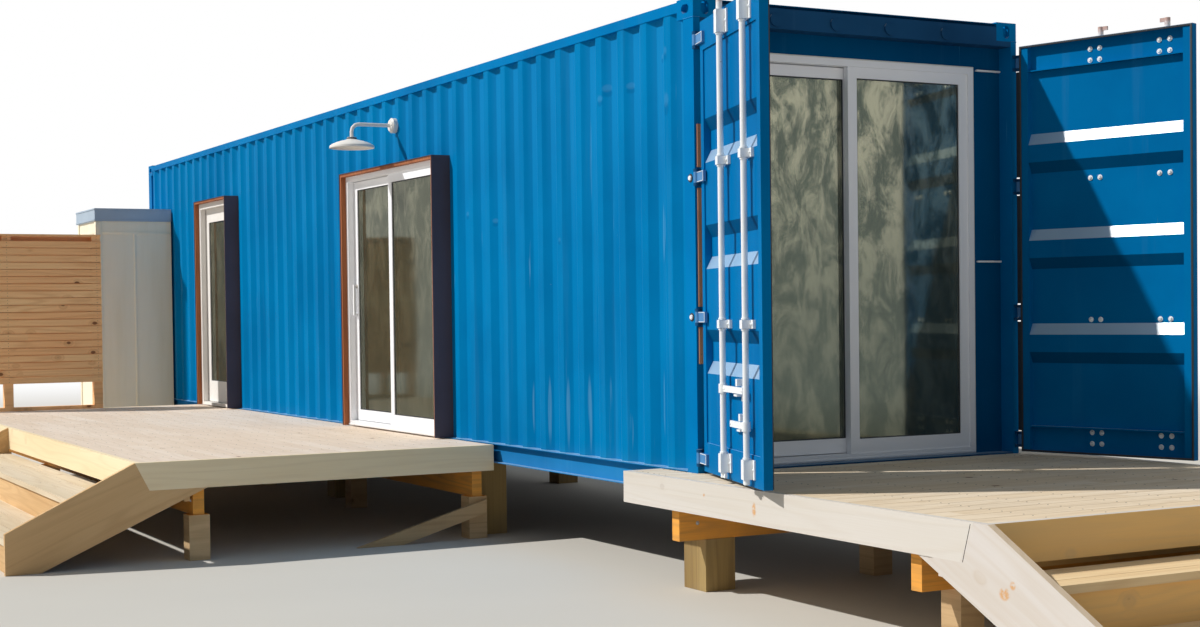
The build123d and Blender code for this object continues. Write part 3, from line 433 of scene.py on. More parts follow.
def glazing(name, tint, pale, strength):
    """Sealed pane: half see-through, half a silver-green mirror that strengthens at a slant, with a painted
    reflection in its colour: a mottle that grows towards the top.
    """
    finish = Finish(name)
    normal = finish.bump(finish.noise(0.9, 1, 0.4), 0.004)
    # Painted reflection: a mottle in the mirror's colour, stronger towards the top
    painted_reflection = finish.noise(1.0, 9, 0.74, finish.stretched((6.0, 6.0, 3.0)), 0.5)
    level = finish.ease(finish.z, 1.2, 2.9)
    smear = finish.noise(2.5, 4, 0.6)
    slant = finish.number("ShaderNodeFresnel", {}, {"IOR": 1.6, "Normal": normal})
    clear = finish.node("ShaderNodeBsdfTransparent", {}, {"Color": tone(232, 240, 234)})
    colour = finish.blend((finish.ease(painted_reflection, 0.42, 0.60) * (0.25 + level * 0.75)), tint, pale)
    sockets = {"Base Color": colour, "Roughness": 0.04 + smear * 0.04, "Normal": normal, "Metallic": 0.6}
    mirror = finish.node("ShaderNodeBsdfPrincipled", {}, sockets)
    factor = (slant * 0.6 + strength + finish.ease(smear, 0.55, 0.8) * 0.04).least(0.92)
    both = finish.node("ShaderNodeMixShader", {}, {0: factor, 1: clear.outputs[0], 2: mirror.outputs[0]})
    finish.output(both.outputs[0])
    return finish.material


def plain_metal(name, bright, dull, rough, metallic=1.0, grain=90.0):
    """Bare or zinc-coated metal with a spangle of two tones."""
    finish = Finish(name)
    spangle = finish.noise(grain, 3, 0.6)
    clouds = finish.noise(4.0, 3, 0.5)
    skin = finish.blend(finish.ease(spangle, 0.35, 0.65), bright, dull)
    skin = finish.blend(finish.ease(clouds, 0.5, 0.8) * 0.3, skin, dull)
    return finish.surface(skin, rough + spangle * 0.12, finish.bump(spangle, 0.0002), metallic=metallic)


def rubber(name):
    """Dark rubber with a fine grain."""
    finish = Finish(name)
    fine = finish.noise(140.0, 3)
    skin = finish.blend(fine, tone(20, 24, 30), tone(44, 50, 58))
    return finish.surface(skin, 0.6 + fine * 0.2, finish.bump(fine, 0.0003))


def board_paint(name, colour, shade, rough=0.66):
    """Rolled or sprayed paint with a light stipple and faint clouds."""
    finish = Finish(name)
    clouds = finish.noise(1.4, 3)
    stipple = finish.noise(320.0, 2)
    skin = finish.blend(clouds, colour, shade)
    return finish.surface(skin, rough + clouds * 0.08, finish.bump(stipple, 0.0002))


def siding(name):
    """Cream sheet siding with rain marks and a faint stipple."""
    finish = Finish(name)
    marks = finish.noise(1.0, 4, 0.6, finish.stretched((5.0, 5.0, 0.4)))
    fine = finish.noise(55.0, 3)
    skin = finish.blend(finish.ease(marks, 0.4, 0.75), tone(252, 242, 218), tone(244, 232, 204))
    return finish.surface(skin, 0.55 + fine * 0.1, finish.bump(fine, 0.0004))


def roof_sheet(name):
    """Pale blue-grey sheet with soft clouds."""
    finish = Finish(name)
    clouds = finish.noise(3.0, 4, 0.6)
    skin = finish.blend(clouds, tone(178, 196, 212), tone(150, 168, 188))
    return finish.surface(skin, 0.42 + clouds * 0.15, finish.bump(finish.noise(70.0, 2), 0.0003))


# Painted shading of dents and painted glints on the front wall: x, z, half width and half height
DENT_SHADING = (
    (-1.055, 3.012, 0.045, 0.030),
    (-1.120, 2.952, 0.040, 0.026),
    (-0.766, 2.994, 0.040, 0.026),
    (-0.327, 3.146, 0.030, 0.030),
    (-0.396, 3.127, 0.026, 0.022),
    (-0.319, 2.847, 0.040, 0.050),
    (-0.374, 2.055, 0.035, 0.110),
    (-2.714, 2.268, 0.030, 0.022),
    (-3.208, 2.345, 0.030, 0.022),
    (-1.691, 2.090, 0.022, 0.018),
)
GLINTS = (
    (-2.150, 0.960, 0.014, 0.20),
    (-1.893, 0.950, 0.018, 0.26),
    (-1.621, 0.940, 0.018, 0.27),
    (-1.334, 0.940, 0.018, 0.30),
    (-1.057, 0.950, 0.016, 0.28),
    (-0.792, 0.860, 0.020, 0.14),
    (-0.426, 1.060, 0.014, 0.22),
    (-0.414, 2.084, 0.012, 0.20),
    (-1.303, 2.594, 0.010, 0.30),
)

# Paints, glass, metals and sheets
WALL_PAINT = steel_paint(
    "wall_blue", tone(0, 123, 182), tone(0, 111, 169), up_dust_and_sheen=0.35, fold_sheen=0.40, dent_shading=DENT_SHADING, glints=GLINTS
)
FRAME_PAINT = steel_paint("frame_blue", tone(0, 122, 186), tone(0, 108, 170), up_dust_and_sheen=0.35)
LEAF_PAINT = steel_paint("cargo_door_blue", tone(0, 114, 176), tone(0, 102, 162), up_dust_and_sheen=0.48, glare_and_underside_shade=1.0)
# Darker copies of the blue paint: painted shade of the header and the bulkhead at the door end
HEADER_SHADE_PAINT = steel_paint("header_shaded_blue", tone(34, 84, 128), tone(28, 72, 112))
BULKHEAD_SHADE_PAINT = steel_paint("bulkhead_shaded_blue", tone(0, 84, 132), tone(0, 74, 120), gloss=0.5)
UNDERBODY = steel_paint("underbody_paint", tone(42, 46, 52), tone(34, 36, 42), tone(96, 96, 96), 0.2, 0.55)
CHARCOAL = steel_paint("charcoal_plate", tone(92, 84, 94), tone(80, 74, 82), tone(92, 88, 98), 0.2, 0.45)
GEAR = worn_white("worn_white_gear")
LEAF_GEAR = worn_white("leaf_gear", tone(0, 118, 182))
VINYL = vinyl("white_vinyl")
JOINERY = board_paint("white_joinery_paint", tone(240, 238, 234), tone(230, 226, 222))
# The tint and pale colours are the mirror's own and its painted reflection's
END_GLASS = glazing("end_door_glass", tone(112, 122, 110), tone(214, 212, 184), 0.54)
SIDE_GLASS = glazing("side_door_glass", tone(112, 116, 98), tone(166, 166, 142), 0.42)
NICKEL = plain_metal("satin_nickel", tone(208, 202, 190), tone(176, 168, 156), 0.28)
ZINC = plain_metal("galvanised_steel", tone(214, 216, 222), tone(188, 192, 200), 0.40, 0.85, 40.0)
SCREW_STEEL = plain_metal("coated_screw_steel", tone(128, 118, 104), tone(92, 84, 74), 0.45, 0.6)
ENAMEL = board_paint("lamp_enamel", tone(236, 233, 228), tone(224, 220, 214), 0.35)
COLLAR = board_paint("lamp_collar", tone(74, 74, 80), tone(56, 56, 62), 0.4)
SEAL = rubber("door_seal_rubber")
# Pale paint of the wall foot welds: a painted highlight along the ledge at the wall's foot
WELD_HIGHLIGHT_PAINT = board_paint("pale_weld_highlight_paint", tone(136, 182, 212), tone(70, 140, 190), 0.5)
CAULK = board_paint("white_sealant", tone(236, 236, 232), tone(214, 214, 208), 0.5)
WALLBOARD = board_paint("wallboard_paint", tone(214, 214, 206), tone(202, 204, 196))
SIDING = siding("cream_siding")
ROOFING = roof_sheet("closet_roof_sheet")

# Timber: its pale, deep and dark tones, and the way that it runs
PIER = timber("sawn_pier_timber", (178, 152, 100), (148, 122, 76), (104, 82, 58), "z", wear=0.40)
FLOORING = timber(
    "dark_floor_boards", (92, 66, 50), (74, 52, 40), (44, 30, 24), "x",
    rows=("y", 0.0, 0.13, 1.8), knots=0.02,
)
CEDAR = timber("cedar_lining", (176, 110, 72), (150, 88, 56), (104, 58, 38), "z", knots=0.05)
SLATS = timber(
    "cedar_slats", (255, 212, 156), (252, 190, 132), (190, 124, 76), "y",
    rows=("z", SLATS_START, SLAT_PITCH, 4.0), knots=0.30,
)
SIDE_BOARDS = timber(
    "side_deck_boards", (238, 222, 206), (228, 208, 188), (190, 164, 136), "x",
    rows=("y", SIDE_BOARDS_START, 0.1412, 3.6), knots=0.06, strength=0.7,
)
END_BOARDS = timber(
    "end_deck_boards", (242, 226, 203), (230, 208, 177), (176, 148, 112), "y",
    rows=("x", END_BOARDS_START, END_BOARD_PITCH, 4.0), knots=0.08, strength=0.9, wear=0.08,
)
# Fascia pine made yellower than the end deck's: painted warm light thrown up from below
SIDE_FASCIA_WARM_LIT = timber(
    "side_fascia_pine_warm_lit", (250, 232, 196), (242, 220, 180), (204, 174, 130), "xy", knots=0.05, strength=0.5
)
END_FASCIA = timber(
    "end_fascia_pine", (217, 211, 204), (210, 202, 190), (190, 170, 144), "xy",
    knots=0.14, strength=0.35, warm=((255, 212, 142), "turned"),
    stains=((0.954, 0.566, 0.022, 0.045), (0.470, 0.600, 0.012, 0.012)),
)
SIDE_TREADS = timber(
    "side_tread_boards", (228, 214, 192), (212, 194, 164), (176, 146, 108), "x",
    rows=("y", -3.411, 0.1396, 4.6), knots=0.06, strength=0.8,
)
END_TREADS = timber(
    "end_tread_boards", (244, 222, 182), (232, 202, 156), (184, 142, 96), "y",
    rows=("x", END_STEPS_START, 0.125, 4.0), knots=0.08,
)
END_STRINGER = timber(
    "end_stringer_pine", (216, 210, 206), (206, 196, 184), (188, 164, 134), "xy",
    knots=0.20, strength=0.5, lean=FLIGHT_SLOPES["end"], warm=((255, 210, 138), "turned"),
    stains=((2.849, 0.382, 0.040, 0.034), (2.900, 0.424, 0.022, 0.022)),
)
SIDE_STRINGER = timber(
    "side_stringer_pine", (224, 188, 140), (204, 166, 118), (160, 118, 76), "xy",
    knots=0.08, strength=0.7, lean=FLIGHT_SLOPES["side"],
)
DECK_POSTS = timber(
    "deck_post_pine", (214, 184, 142), (194, 162, 120), (150, 116, 78), "xy",
    wear=0.2, warm=((255, 178, 78), 0.300),
)
BATTEN = timber("batten_timber", (196, 146, 118), (172, 122, 98), (120, 78, 58), "z", knots=0.25)

FINISHES = (
    (WALL_PAINT, "front_wall front_wall_lintels"),
    (FRAME_PAINT, "corner_posts corner_castings side_rails back_wall end_wall roof"),
    (HEADER_SHADE_PAINT, "end_beams door_hardware"),
    (BULKHEAD_SHADE_PAINT, "bulkhead"),
    (LEAF_PAINT, "left_leaf right_leaf"),
    (UNDERBODY, "cross_members"),
    (LEAF_GEAR, "left_leaf_fittings right_leaf_fittings"),
    (GEAR, "left_inner_rod left_outer_rod right_inner_rod right_outer_rod"),
    (VINYL, "end_door_frame end_door_fixed_sash end_door_sliding_sash"),
    (VINYL, "patio_door_frame patio_door_fixed_sash patio_door_sliding_sash"),
    (JOINERY, "entry_frame entry_door"),
    (END_GLASS, "end_door_fixed_glass end_door_sliding_glass"),
    (SIDE_GLASS, "patio_door_fixed_glass patio_door_sliding_glass entry_glass"),
    (NICKEL, "entry_hinges entry_knobs"),
    (CHARCOAL, "door_surrounds"),
    (CEDAR, "surround_linings"),
    (SLATS, "screen"),
    (SIDE_BOARDS, "side_deck_boards"),
    (END_BOARDS, "end_deck_boards"),
    (SIDE_FASCIA_WARM_LIT, "side_deck_frame"),
    (END_FASCIA, "end_deck_frame"),
    (SIDE_TREADS, "side_treads"),
    (END_TREADS, "end_treads"),
    (END_STRINGER, "end_stringers"),
    (SIDE_STRINGER, "side_stringers"),
    (BATTEN, "post_batten"),
    (DECK_POSTS, "side_deck_supports end_deck_supports"),
    (PIER, "piers"),
    (FLOORING, "floor"),
    (WALLBOARD, "wall_lining ceiling"),
    (ENAMEL, "barn_light_arm barn_light_shade"),
    (SIDING, "utility_closet"),
    (ROOFING, "utility_closet_roof"),
)
for material, names in FINISHES:
    for name in names.split():
        NODES[name].data.materials.clear()
        NODES[name].data.materials.append(material)

# Small pieces
SHARPEST_SMOOTH_EDGE = radians(32)


def leaf_frame(side):
    """A cargo door's own frame: along the leaf from its hinge, outwards from its face, up from the base."""
    turn = LEAF_ANGLES[side]
    way = 1.0 if side == "left" else -1.0
    along = Vector((sin(turn), way * cos(turn), 0.0))
    out = Vector((cos(turn), -way * sin(turn), 0.0))
    corner = Vector((HINGE_LINE, 0.0 if side == "left" else WIDTH, BASE))
    return Matrix.Translation(corner) @ Matrix((along, out, PLUS_Z)).transposed().to_4x4()


class Piece:
    """A piece in the making: each call adds a form to one mesh, in the cabin's frame or in a door's own."""

    def __init__(self, name, body="cabin", own_frame=None):
        self.name = name
        self.body = body
        self.frame = own_frame or Matrix.Identity(4)
        self.mesh = bmesh.new()

    def stand(self, place, way):
        """The matrix for a form that stands at a place and points one way, both in the piece's own frame."""
        turn = Vector(way).to_track_quat("Z", "Y").to_matrix().to_4x4()
        return self.frame @ Matrix.Translation(place) @ turn

    def block(self, low, high, edge=0.0):
        """A block between two corners, its edges eased where a width is given."""
        middle = [(a + b) / 2 for a, b in zip(low, high)]
        size = Matrix.Diagonal([abs(b - a) for a, b in zip(low, high)] + [1.0])
        matrix = self.frame @ Matrix.Translation(middle) @ size
        made = bmesh.ops.create_cube(self.mesh, size=1.0, matrix=matrix)["verts"]
        if edge:
            edges = list({line for vert in made for line in vert.link_edges})
            bmesh.ops.bevel(
                self.mesh, geom=edges, offset=edge, segments=2, profile=0.5, affect="EDGES", material=-1
            )

    def stud(self, place, way, radius, height, sides=10, top=0.6):
        """A round head that narrows from its seat to its top."""
        matrix = self.stand(Vector(place) + Vector(way) * (height / 2), way)
        ends = {"radius1": radius, "radius2": radius * top, "depth": height}
        bmesh.ops.create_cone(self.mesh, cap_ends=True, segments=sides, matrix=matrix, **ends)

    def screw(self, place, way=PLUS_Z, radius=0.0048, height=0.0012, sides=8):
        """A small flat head."""
        self.stud(place, way, radius, height, sides, 0.8)

    def bolt(self, place, way, radius):
        """A washer with a domed head on it."""
        self.stud(place, way, radius * 1.35, radius * 0.16, 12, 0.96)
        self.stud(Vector(place) + Vector(way) * (radius * 0.14), way, radius, radius * 0.75, 12, 0.55)

    def turned(self, place, way, profile, steps=32):
        """A form turned about an axis, from (radius, height) pairs."""
        matrix = self.stand(place, way)
        points = [matrix @ Vector((radius, 0.0, height)) for radius, height in profile]
        rim = [bmesh.ops.create_vert(self.mesh, co=point)["vert"][0] for point in points]
        line = [self.mesh.edges.new(pair) for pair in zip(rim, rim[1:])]
        about = {"cent": matrix.translation, "axis": matrix.to_3x3() @ Vector(PLUS_Z), "angle": 2 * pi}
        bmesh.ops.spin(self.mesh, geom=rim + line, steps=steps, use_merge=True, **about)
        bmesh.ops.remove_doubles(self.mesh, verts=self.mesh.verts, dist=1e-6)

    def bead(self, points, radius):
        """A six-sided bead or bar through a row of points, mitred at its corners."""
        points = [self.frame @ Vector(point) for point in points]
        ways = [(b - a).normalized() for a, b in zip(points, points[1:])]
        start = Matrix.Translation(points[0]) @ ways[0].to_track_quat("Z", "Y").to_matrix().to_4x4()
        ring = bmesh.ops.create_circle(self.mesh, cap_ends=True, segments=6, radius=radius, matrix=start)
        edges = list({edge for vert in ring["verts"] for edge in vert.link_edges})
        for number, way in enumerate(ways):
            after = ways[min(number + 1, len(ways) - 1)]
            mitre = (way + after).normalized()
            grown = bmesh.ops.extrude_edge_only(self.mesh, edges=edges)["geom"]
            edges = [part for part in grown if isinstance(part, bmesh.types.BMEdge)]
            for vert in (part for part in grown if isinstance(part, bmesh.types.BMVert)):
                vert.co += way * ((points[number + 1] - vert.co).dot(mitre) / way.dot(mitre))
        bmesh.ops.edgeloop_fill(self.mesh, edges=edges)

    def done(self, material, *replaced):
        """Close the piece: faces outwards, soft shading between sharp edges, its finish and its body."""
        bmesh.ops.recalc_face_normals(self.mesh, faces=self.mesh.faces)
        for face in self.mesh.faces:
            face.smooth = True
        for edge in self.mesh.edges:
            edge.smooth = edge.calc_face_angle(pi) < SHARPEST_SMOOTH_EDGE
        data = bpy.data.meshes.new(self.name)
        self.mesh.to_mesh(data)
        self.mesh.free()
        data.materials.append(material)
        piece = bpy.data.objects.new(self.name, data)
        bpy.context.scene.collection.objects.link(piece)
        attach(piece, self.body)
        if replaced:
            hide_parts(*replaced)


def cargo_door_bolts(side):
    """Through bolts of the rod guides on the inner face, and the guides' own bolts outside."""
    bolts = Piece(f"{side}_leaf_bolts", f"{side}_leaf", leaf_frame(side))
    seats = (
        (2.667, -0.023), (2.598, -0.023), (1.873, -0.027), (0.998, -0.027), (0.297, -0.023), (0.228, -0.023),
    )
    for along in (0.524, 0.589, 0.983, 1.050):
        for level, seat in seats:
            bolts.bolt((along, seat, level), MINUS_Y, 0.0125)
    for along in ROD_PLACES.values():
        for shift in (-0.040, 0.040):
            for level in (0.2515, 2.653, 1.009, 1.899):
                bolts.bolt((along + shift, -0.008, level), PLUS_Y, 0.0085)
    bolts.done(GEAR)


def cargo_door_seal(side):
    """Rubber lip round the inner edge of a leaf, and the weld lines where the panel meets its frame."""
    seal = Piece(f"{side}_leaf_seal", f"{side}_leaf", leaf_frame(side))
    for low, high in ((0.051, 0.063), (1.200, 1.212)):
        seal.block((low, -0.071, 0.162), (high, -0.064, 2.733), 0.002)
    for low, high in ((0.162, 0.174), (2.721, 2.733)):
        seal.block((0.063, -0.071, low), (1.200, -0.064, high), 0.002)
    seal.done(SEAL)
    welds = Piece(f"{side}_leaf_welds", f"{side}_leaf", leaf_frame(side))
    for along in (0.1115, 1.1515):
        for low, high in ((0.335, 0.724), (0.976, 1.319), (1.571, 1.924), (2.176, 2.560)):
            welds.bead(((along, -0.0275, low), (along, -0.0275, high)), 0.0022)
    welds.done(LEAF_PAINT)


def rod_details(side, name):
    """Collars beside the guides of a lock rod, and the rivets and end stop of its handle."""
    rod = Piece(f"{side}_{name}_rod_rings", f"{side}_{name}_rod", leaf_frame(side))
    place, level, way = ROD_PLACES[name], HANDLE_LEVELS[name], HANDLE_WAYS[name]
    ring = ((0.0174, 0.0), (0.0215, 0.001), (0.0215, 0.009), (0.0174, 0.010), (0.0174, 0.0))
    for height in (0.3045, 0.9745, 1.0335, 1.8645, 1.9235, 2.5785):
        rod.turned((place, 0.016, height), PLUS_Z, ring, 16)
    rod.stud((place + way * 0.030, 0.022, level), PLUS_Y, 0.0075, 0.004, 10, 0.7)
    for along in (0.058, HANDLE_REACHES[name]):
        rod.stud((place + way * along, 0.022, level), PLUS_Y, 0.0065, 0.004, 10, 0.7)
    rod.done(GEAR)


def cargo_hinge_edge_highlights(side):
    """Pale beads round a leaf's hinge blades: painted highlights along their edges."""
    edge_highlights = Piece(f"{side}_hinge_edge_highlights", f"{side}_leaf", leaf_frame(side))
    near, far, proud, half = 0.020, 0.145, 0.001, 0.027
    for level in HINGE_LEVELS:
        low, high = level - half, level + half
        edge_highlights.bead(((near, proud, high), (far, proud, high), (far, proud, low), (near, proud, low)), 0.0022)
    edge_highlights.done(GEAR)


def hinge_gap_shade_lip():
    """Rubber lip along the far leaf's hinge edge, cut away at the hinges; dark, it also fills the gap between
    the leaf and its post as painted shade.
    """
    shade_lip = Piece("right_leaf_shade_lip", "right_leaf", leaf_frame("right"))
    for low, high in ((0.290, 0.988), (1.104, 1.794), (1.910, 2.582)):
        shade_lip.block((-0.006, -0.0155, low), (0.056, -0.0100, high), 0.002)
    shade_lip.done(SEAL)


def hinge_bosses():
    """Round pin ends on the posts beside the two middle hinges of the cargo doors, each on a dark disc that
    is painted shadow of its socket.
    """
    pin_x = -0.046
    sockets = Piece("hinge_socket_shadows")
    bosses = Piece("hinge_bosses")
    for level in HINGE_LEVELS[1:3]:
        for face, way in ((0.0, -1.0), (WIDTH, 1.0)):
            # The dark disc is painted shadow of the socket round the pin end
            sockets.stud((pin_x, face, BASE + level), (0.0, way, 0.0), 0.025, 0.004, 20, 0.9)
            bosses.stud((pin_x, face + way * 0.004, BASE + level), (0.0, way, 0.0), 0.0155, 0.006, 16, 0.8)
    sockets.done(SEAL)
    bosses.done(GEAR)


def wave_line(start, end):
    """Points along the foot of a folded long wall between two places: crests out, recesses in."""
    points = []
    for number in range(-45, 2):
        middle = FOLD_MIDDLE + number * FOLD_PITCH
        for place, depth in ((-0.103, 0.0), (-0.035, FOLD_DEPTH), (0.035, FOLD_DEPTH), (0.103, 0.0)):
            if start < middle + place < end:
                points.append((middle + place, depth))
    return points


def wall_foot_bead():
    """Weld along the feet of the folded long walls, where they meet the rails, painted pale as a highlight
    along that ledge.
    """
    bead = Piece("wall_welds")
    level = FLOOR + 0.001
    for start, end in ((-12.06, -9.92), (-8.80, -5.50), (-3.50, -0.115)):
        bead.bead([(x, 0.0025 + depth, level) for x, depth in wave_line(start, end)], 0.0035)
    bead.bead([(x, WIDTH - 0.0025 - depth, level) for x, depth in wave_line(-12.06, -0.115)], 0.0035)
    bead.done(WELD_HIGHLIGHT_PAINT)


def post_welds():
    """Weld lines where the posts at the door end meet their castings."""
    welds = Piece("post_welds")
    for level in (BASE + 0.118, BASE + 2.778):
        for face, inside in ((0.0, 0.043), (WIDTH, WIDTH - 0.043)):
            welds.bead(((-0.109, face, level), (0.0, face, level), (0.0, inside, level)), 0.003)
    welds.done(FRAME_PAINT)


def glass_seals():
    """Dark glazing strips round every pane, inside and outside."""
    width, thickness = 0.007, 0.003
    for node, body in (
        ("end_door_fixed_glass", "cabin"),
        ("end_door_sliding_glass", "end_door_sash"),
        ("patio_door_fixed_glass", "cabin"),
        ("patio_door_sliding_glass", "patio_door_sash"),
        ("entry_glass", "entry_door"),
    ):
        low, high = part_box(node)
        flat = 0 if high[0] - low[0] < high[1] - low[1] else 1
        wide = 1 - flat
        strip = Piece(f"{node}_seal", body)
        for face, proud in ((low[flat], -thickness), (high[flat], thickness)):
            for bar in range(4):
                start, end = list(low), list(high)
                start[flat], end[flat] = sorted((face, face + proud))
                if bar < 2:
                    start[2], end[2] = (low[2], low[2] + width) if bar == 0 else (high[2] - width, high[2])
                else:
                    edge = low[wide] if bar == 2 else high[wide] - width
                    start[wide], end[wide] = edge, edge + width
                    start[2], end[2] = low[2] + width, high[2] - width
                strip.block(start, end)
        strip.done(SEAL)


def sliding_door_locks():
    """Key cylinders by the pulls of the sliding doors, and the nosings of their sills."""
    cylinder = ((0.0, 0.0), (0.017, 0.0), (0.017, 0.006), (0.013, 0.009), (0.0, 0.009))
    level = FLOOR + 1.18
    for door, place, way in (
        ("end_door", (-0.158, 0.351, level), PLUS_X),
        ("patio_door", (-5.373, -0.007, level), MINUS_Y),
    ):
        lock = Piece(f"{door}_lock", f"{door}_sash")
        lock.turned(place, way, cylinder, 20)
        lock.done(NICKEL)
    nosing = Piece("door_sill_nosings")
    nosing.block((-0.100, 0.275, FLOOR + 0.004), (-0.092, 2.163, FLOOR + 0.018), 0.003)
    nosing.block((-5.448, -0.073, FLOOR + 0.004), (-3.552, -0.065, FLOOR + 0.018), 0.003)
    nosing.done(VINYL)


def door_caulk():
    """A run of sealant round the end door where it meets the bulkhead."""
    caulk = Piece("end_door_sealant")
    top = 3.149
    for low, high in (
        ((0.262, FLOOR), (0.271, top)),
        ((2.167, FLOOR), (2.176, top)),
        ((0.271, top - 0.009), (2.167, top)),
    ):
        caulk.block((-0.110, *low), (-0.104, *high), 0.002)
    caulk.done(CAULK)


def bulkhead_ledges():
    """Two short pale ledges on the bulkhead, on the strip between the end door and the right post."""
    ledges = Piece("bulkhead_ledges")
    for level in (BASE + 1.376, BASE + 2.597):
        ledges.block((-0.110, 2.192, level - 0.006), (-0.090, 2.390, level + 0.006), 0.003)
    ledges.done(GEAR)


def entry_gear():
    """Turned knobs with their roses on both sides of the hinged door, and a bolt lock above."""
    lock_x, outside, inside = -8.943, -0.005, 0.040
    knob_level, lock_level = 1.745, 1.885
    knob = (
        (0.0, 0.0), (0.032, 0.0), (0.032, 0.004), (0.028, 0.006), (0.012, 0.008), (0.011, 0.030),
        (0.014, 0.036), (0.024, 0.041), (0.028, 0.048), (0.028, 0.054), (0.023, 0.062), (0.012, 0.066),
        (0.0, 0.066),
    )
    knobs = Piece("entry_knob_pair", "entry_door")
    knobs.turned((lock_x, outside, knob_level), MINUS_Y, knob, 28)
    knobs.turned((lock_x, inside, knob_level), PLUS_Y, knob, 28)
    knobs.done(NICKEL, "entry_knobs")
    lock = Piece("entry_bolt_lock", "entry_door")
    rose = ((0.0, 0.0), (0.030, 0.0), (0.030, 0.004), (0.024, 0.010), (0.0, 0.010))
    lock.turned((lock_x, outside, lock_level), MINUS_Y, rose, 24)
    lock.block((lock_x - 0.001, -0.017, lock_level - 0.007), (lock_x + 0.001, -0.014, lock_level + 0.007))
    lock.done(NICKEL)


def deck_screws():
    """Screw heads in pairs where the deck boards cross their joists, and on the short boards by the posts."""
    pair, short_pair = (0.026, 0.110), (0.026, 0.094)
    seat = DECK - 0.0002
    side = Piece("side_deck_screws")
    for board in range(18):
        low = SIDE_BOARDS_START + board * 0.1415
        for joist in range(1, 18):
            for place in pair:
                side.screw((SIDE_JOISTS_START + joist * SIDE_JOIST_PITCH, low + place, seat))
    side.done(SCREW_STEEL)
    end = Piece("end_deck_screws")
    for board in range(19):
        low = END_BOARDS_START + board * END_BOARD_PITCH
        for joist in range(1, 8):
            for place in pair:
                end.screw((low + place, END_JOISTS_START + joist * END_JOIST_PITCH, seat))
    for board in range(3):
        for y in (-0.203, -0.019, WIDTH + 0.019, WIDTH + 0.203):
            for place in short_pair:
                end.screw((-0.377 + board * 0.12667 + place, y, seat))
    end.done(SCREW_STEEL)


def timber_screws():
    """Screws of the treads and the screen, and the bolts of the beams."""
    screws = Piece("frame_screws")
    for step in range(2):
        seat = DECK - (step + 1) * STEP_RISE - 0.0002
        for board in range(3):
            for y in (-0.212, 2.650):
                screws.screw((END_STEPS_START + step * END_STEP_RUN + 0.030 + board * 0.121, y, seat))
            for x in (-7.155, -5.67, -4.18, -2.788):
                screws.screw((x, SIDE_STEPS_START - step * SIDE_STEP_RUN - 0.045 - board * 0.138, seat))
    for slat in range(SLAT_COUNT):
        low = SLATS_START + slat * SLAT_PITCH
        for y in (-2.515, -2.070, -1.155):
            for lift in (0.018, 0.050):
                screws.screw((-9.936, y, low + lift), PLUS_X, 0.0035, 0.001, 6)
    screws.done(SCREW_STEEL)
    bolts = Piece("beam_bolts")
    for x in (0.116, 2.236):
        bolts.bolt((x, -0.080, 0.400), PLUS_X, 0.009)
    for x in (-2.850, -5.200, -7.550, -9.900):
        bolts.bolt((x, -2.188, 0.394), MINUS_Y, 0.009)
    bolts.done(ZINC)


def fascia_mitres():
    """Fine open lines where the end deck's fascia meets the stringers of its steps."""
    lines = Piece("fascia_mitres")
    for face in (-0.2600, 2.6980):
        lines.bead(((2.635, face, 0.662), (2.582, face, 0.488)), 0.0016)
    lines.done(SEAL)


def barn_light():
    """A spun shade with a rolled rim, its dark collar and bulb, and the screws of the wall box."""
    shade = Piece("barn_light_bell")
    outside = (
        (0.0, 0.088), (0.036, 0.088), (0.036, 0.076), (0.042, 0.070), (0.060, 0.064), (0.092, 0.057),
        (0.124, 0.047), (0.150, 0.036), (0.168, 0.026), (0.176, 0.020), (0.178, 0.014), (0.178, 0.003),
        (0.176, 0.0), (0.173, 0.001),
    )
    inside = (
        (0.172, 0.004), (0.172, 0.014), (0.165, 0.022), (0.148, 0.032), (0.122, 0.043), (0.090, 0.053),
        (0.058, 0.060), (0.034, 0.064), (0.0, 0.066),
    )
    shade.turned((LAMP_X, LAMP_Y, LAMP_RIM), PLUS_Z, outside + inside, 64)
    shade.done(ENAMEL, "barn_light_shade")
    collar = Piece("barn_light_collar")
    ring = ((0.0365, 0.0), (0.040, 0.001), (0.041, 0.010), (0.0365, 0.012))
    collar.turned((LAMP_X, LAMP_Y, LAMP_RIM + 0.073), PLUS_Z, ring, 32)
    for x in (LAMP_X - 0.036, LAMP_X + 0.036):
        collar.stud((x, -0.0437, 3.135), MINUS_Y, 0.005, 0.003, 8, 0.7)
    collar.done(COLLAR)
    bulb = Piece("barn_light_bulb")
    glass = (
        (0.0, 0.012), (0.016, 0.015), (0.027, 0.026), (0.030, 0.038), (0.024, 0.052), (0.015, 0.062),
        (0.0, 0.064),
    )
    bulb.turned((LAMP_X, LAMP_Y, LAMP_RIM), PLUS_Z, glass, 24)
    bulb.done(CAULK)


def closet_trim():
    """Corner boards, a band and an upright joint strip on the closet, and the folded edge of its roof."""
    foot, top = 0.110, 2.705
    band, band_top = BASE + 2.040, BASE + 2.070
    trim = Piece("closet_trim")
    for low, high in (
        ((-11.310, -0.860, foot), (-11.240, -0.850, top)),
        ((-11.250, -0.850, foot), (-11.240, -0.790, top)),
        ((-12.150, -0.860, foot), (-12.090, -0.850, top)),
        ((-12.090, -0.858, band), (-11.310, -0.850, band_top)),
        ((-11.250, -0.790, band), (-11.242, -0.004, band_top)),
        ((-11.250, -0.430, foot), (-11.244, -0.405, band)),
    ):
        trim.block(low, high, 0.002)
    trim.done(SIDING)
    edge = Piece("closet_roof_edge")
    for low in (2.722, 2.842):
        edge.block((-12.174, -0.876, low), (-11.226, -0.870, low + 0.012), 0.002)
        edge.block((-11.230, -0.870, low), (-11.224, -0.004, low + 0.012), 0.002)
    edge.done(ROOFING)


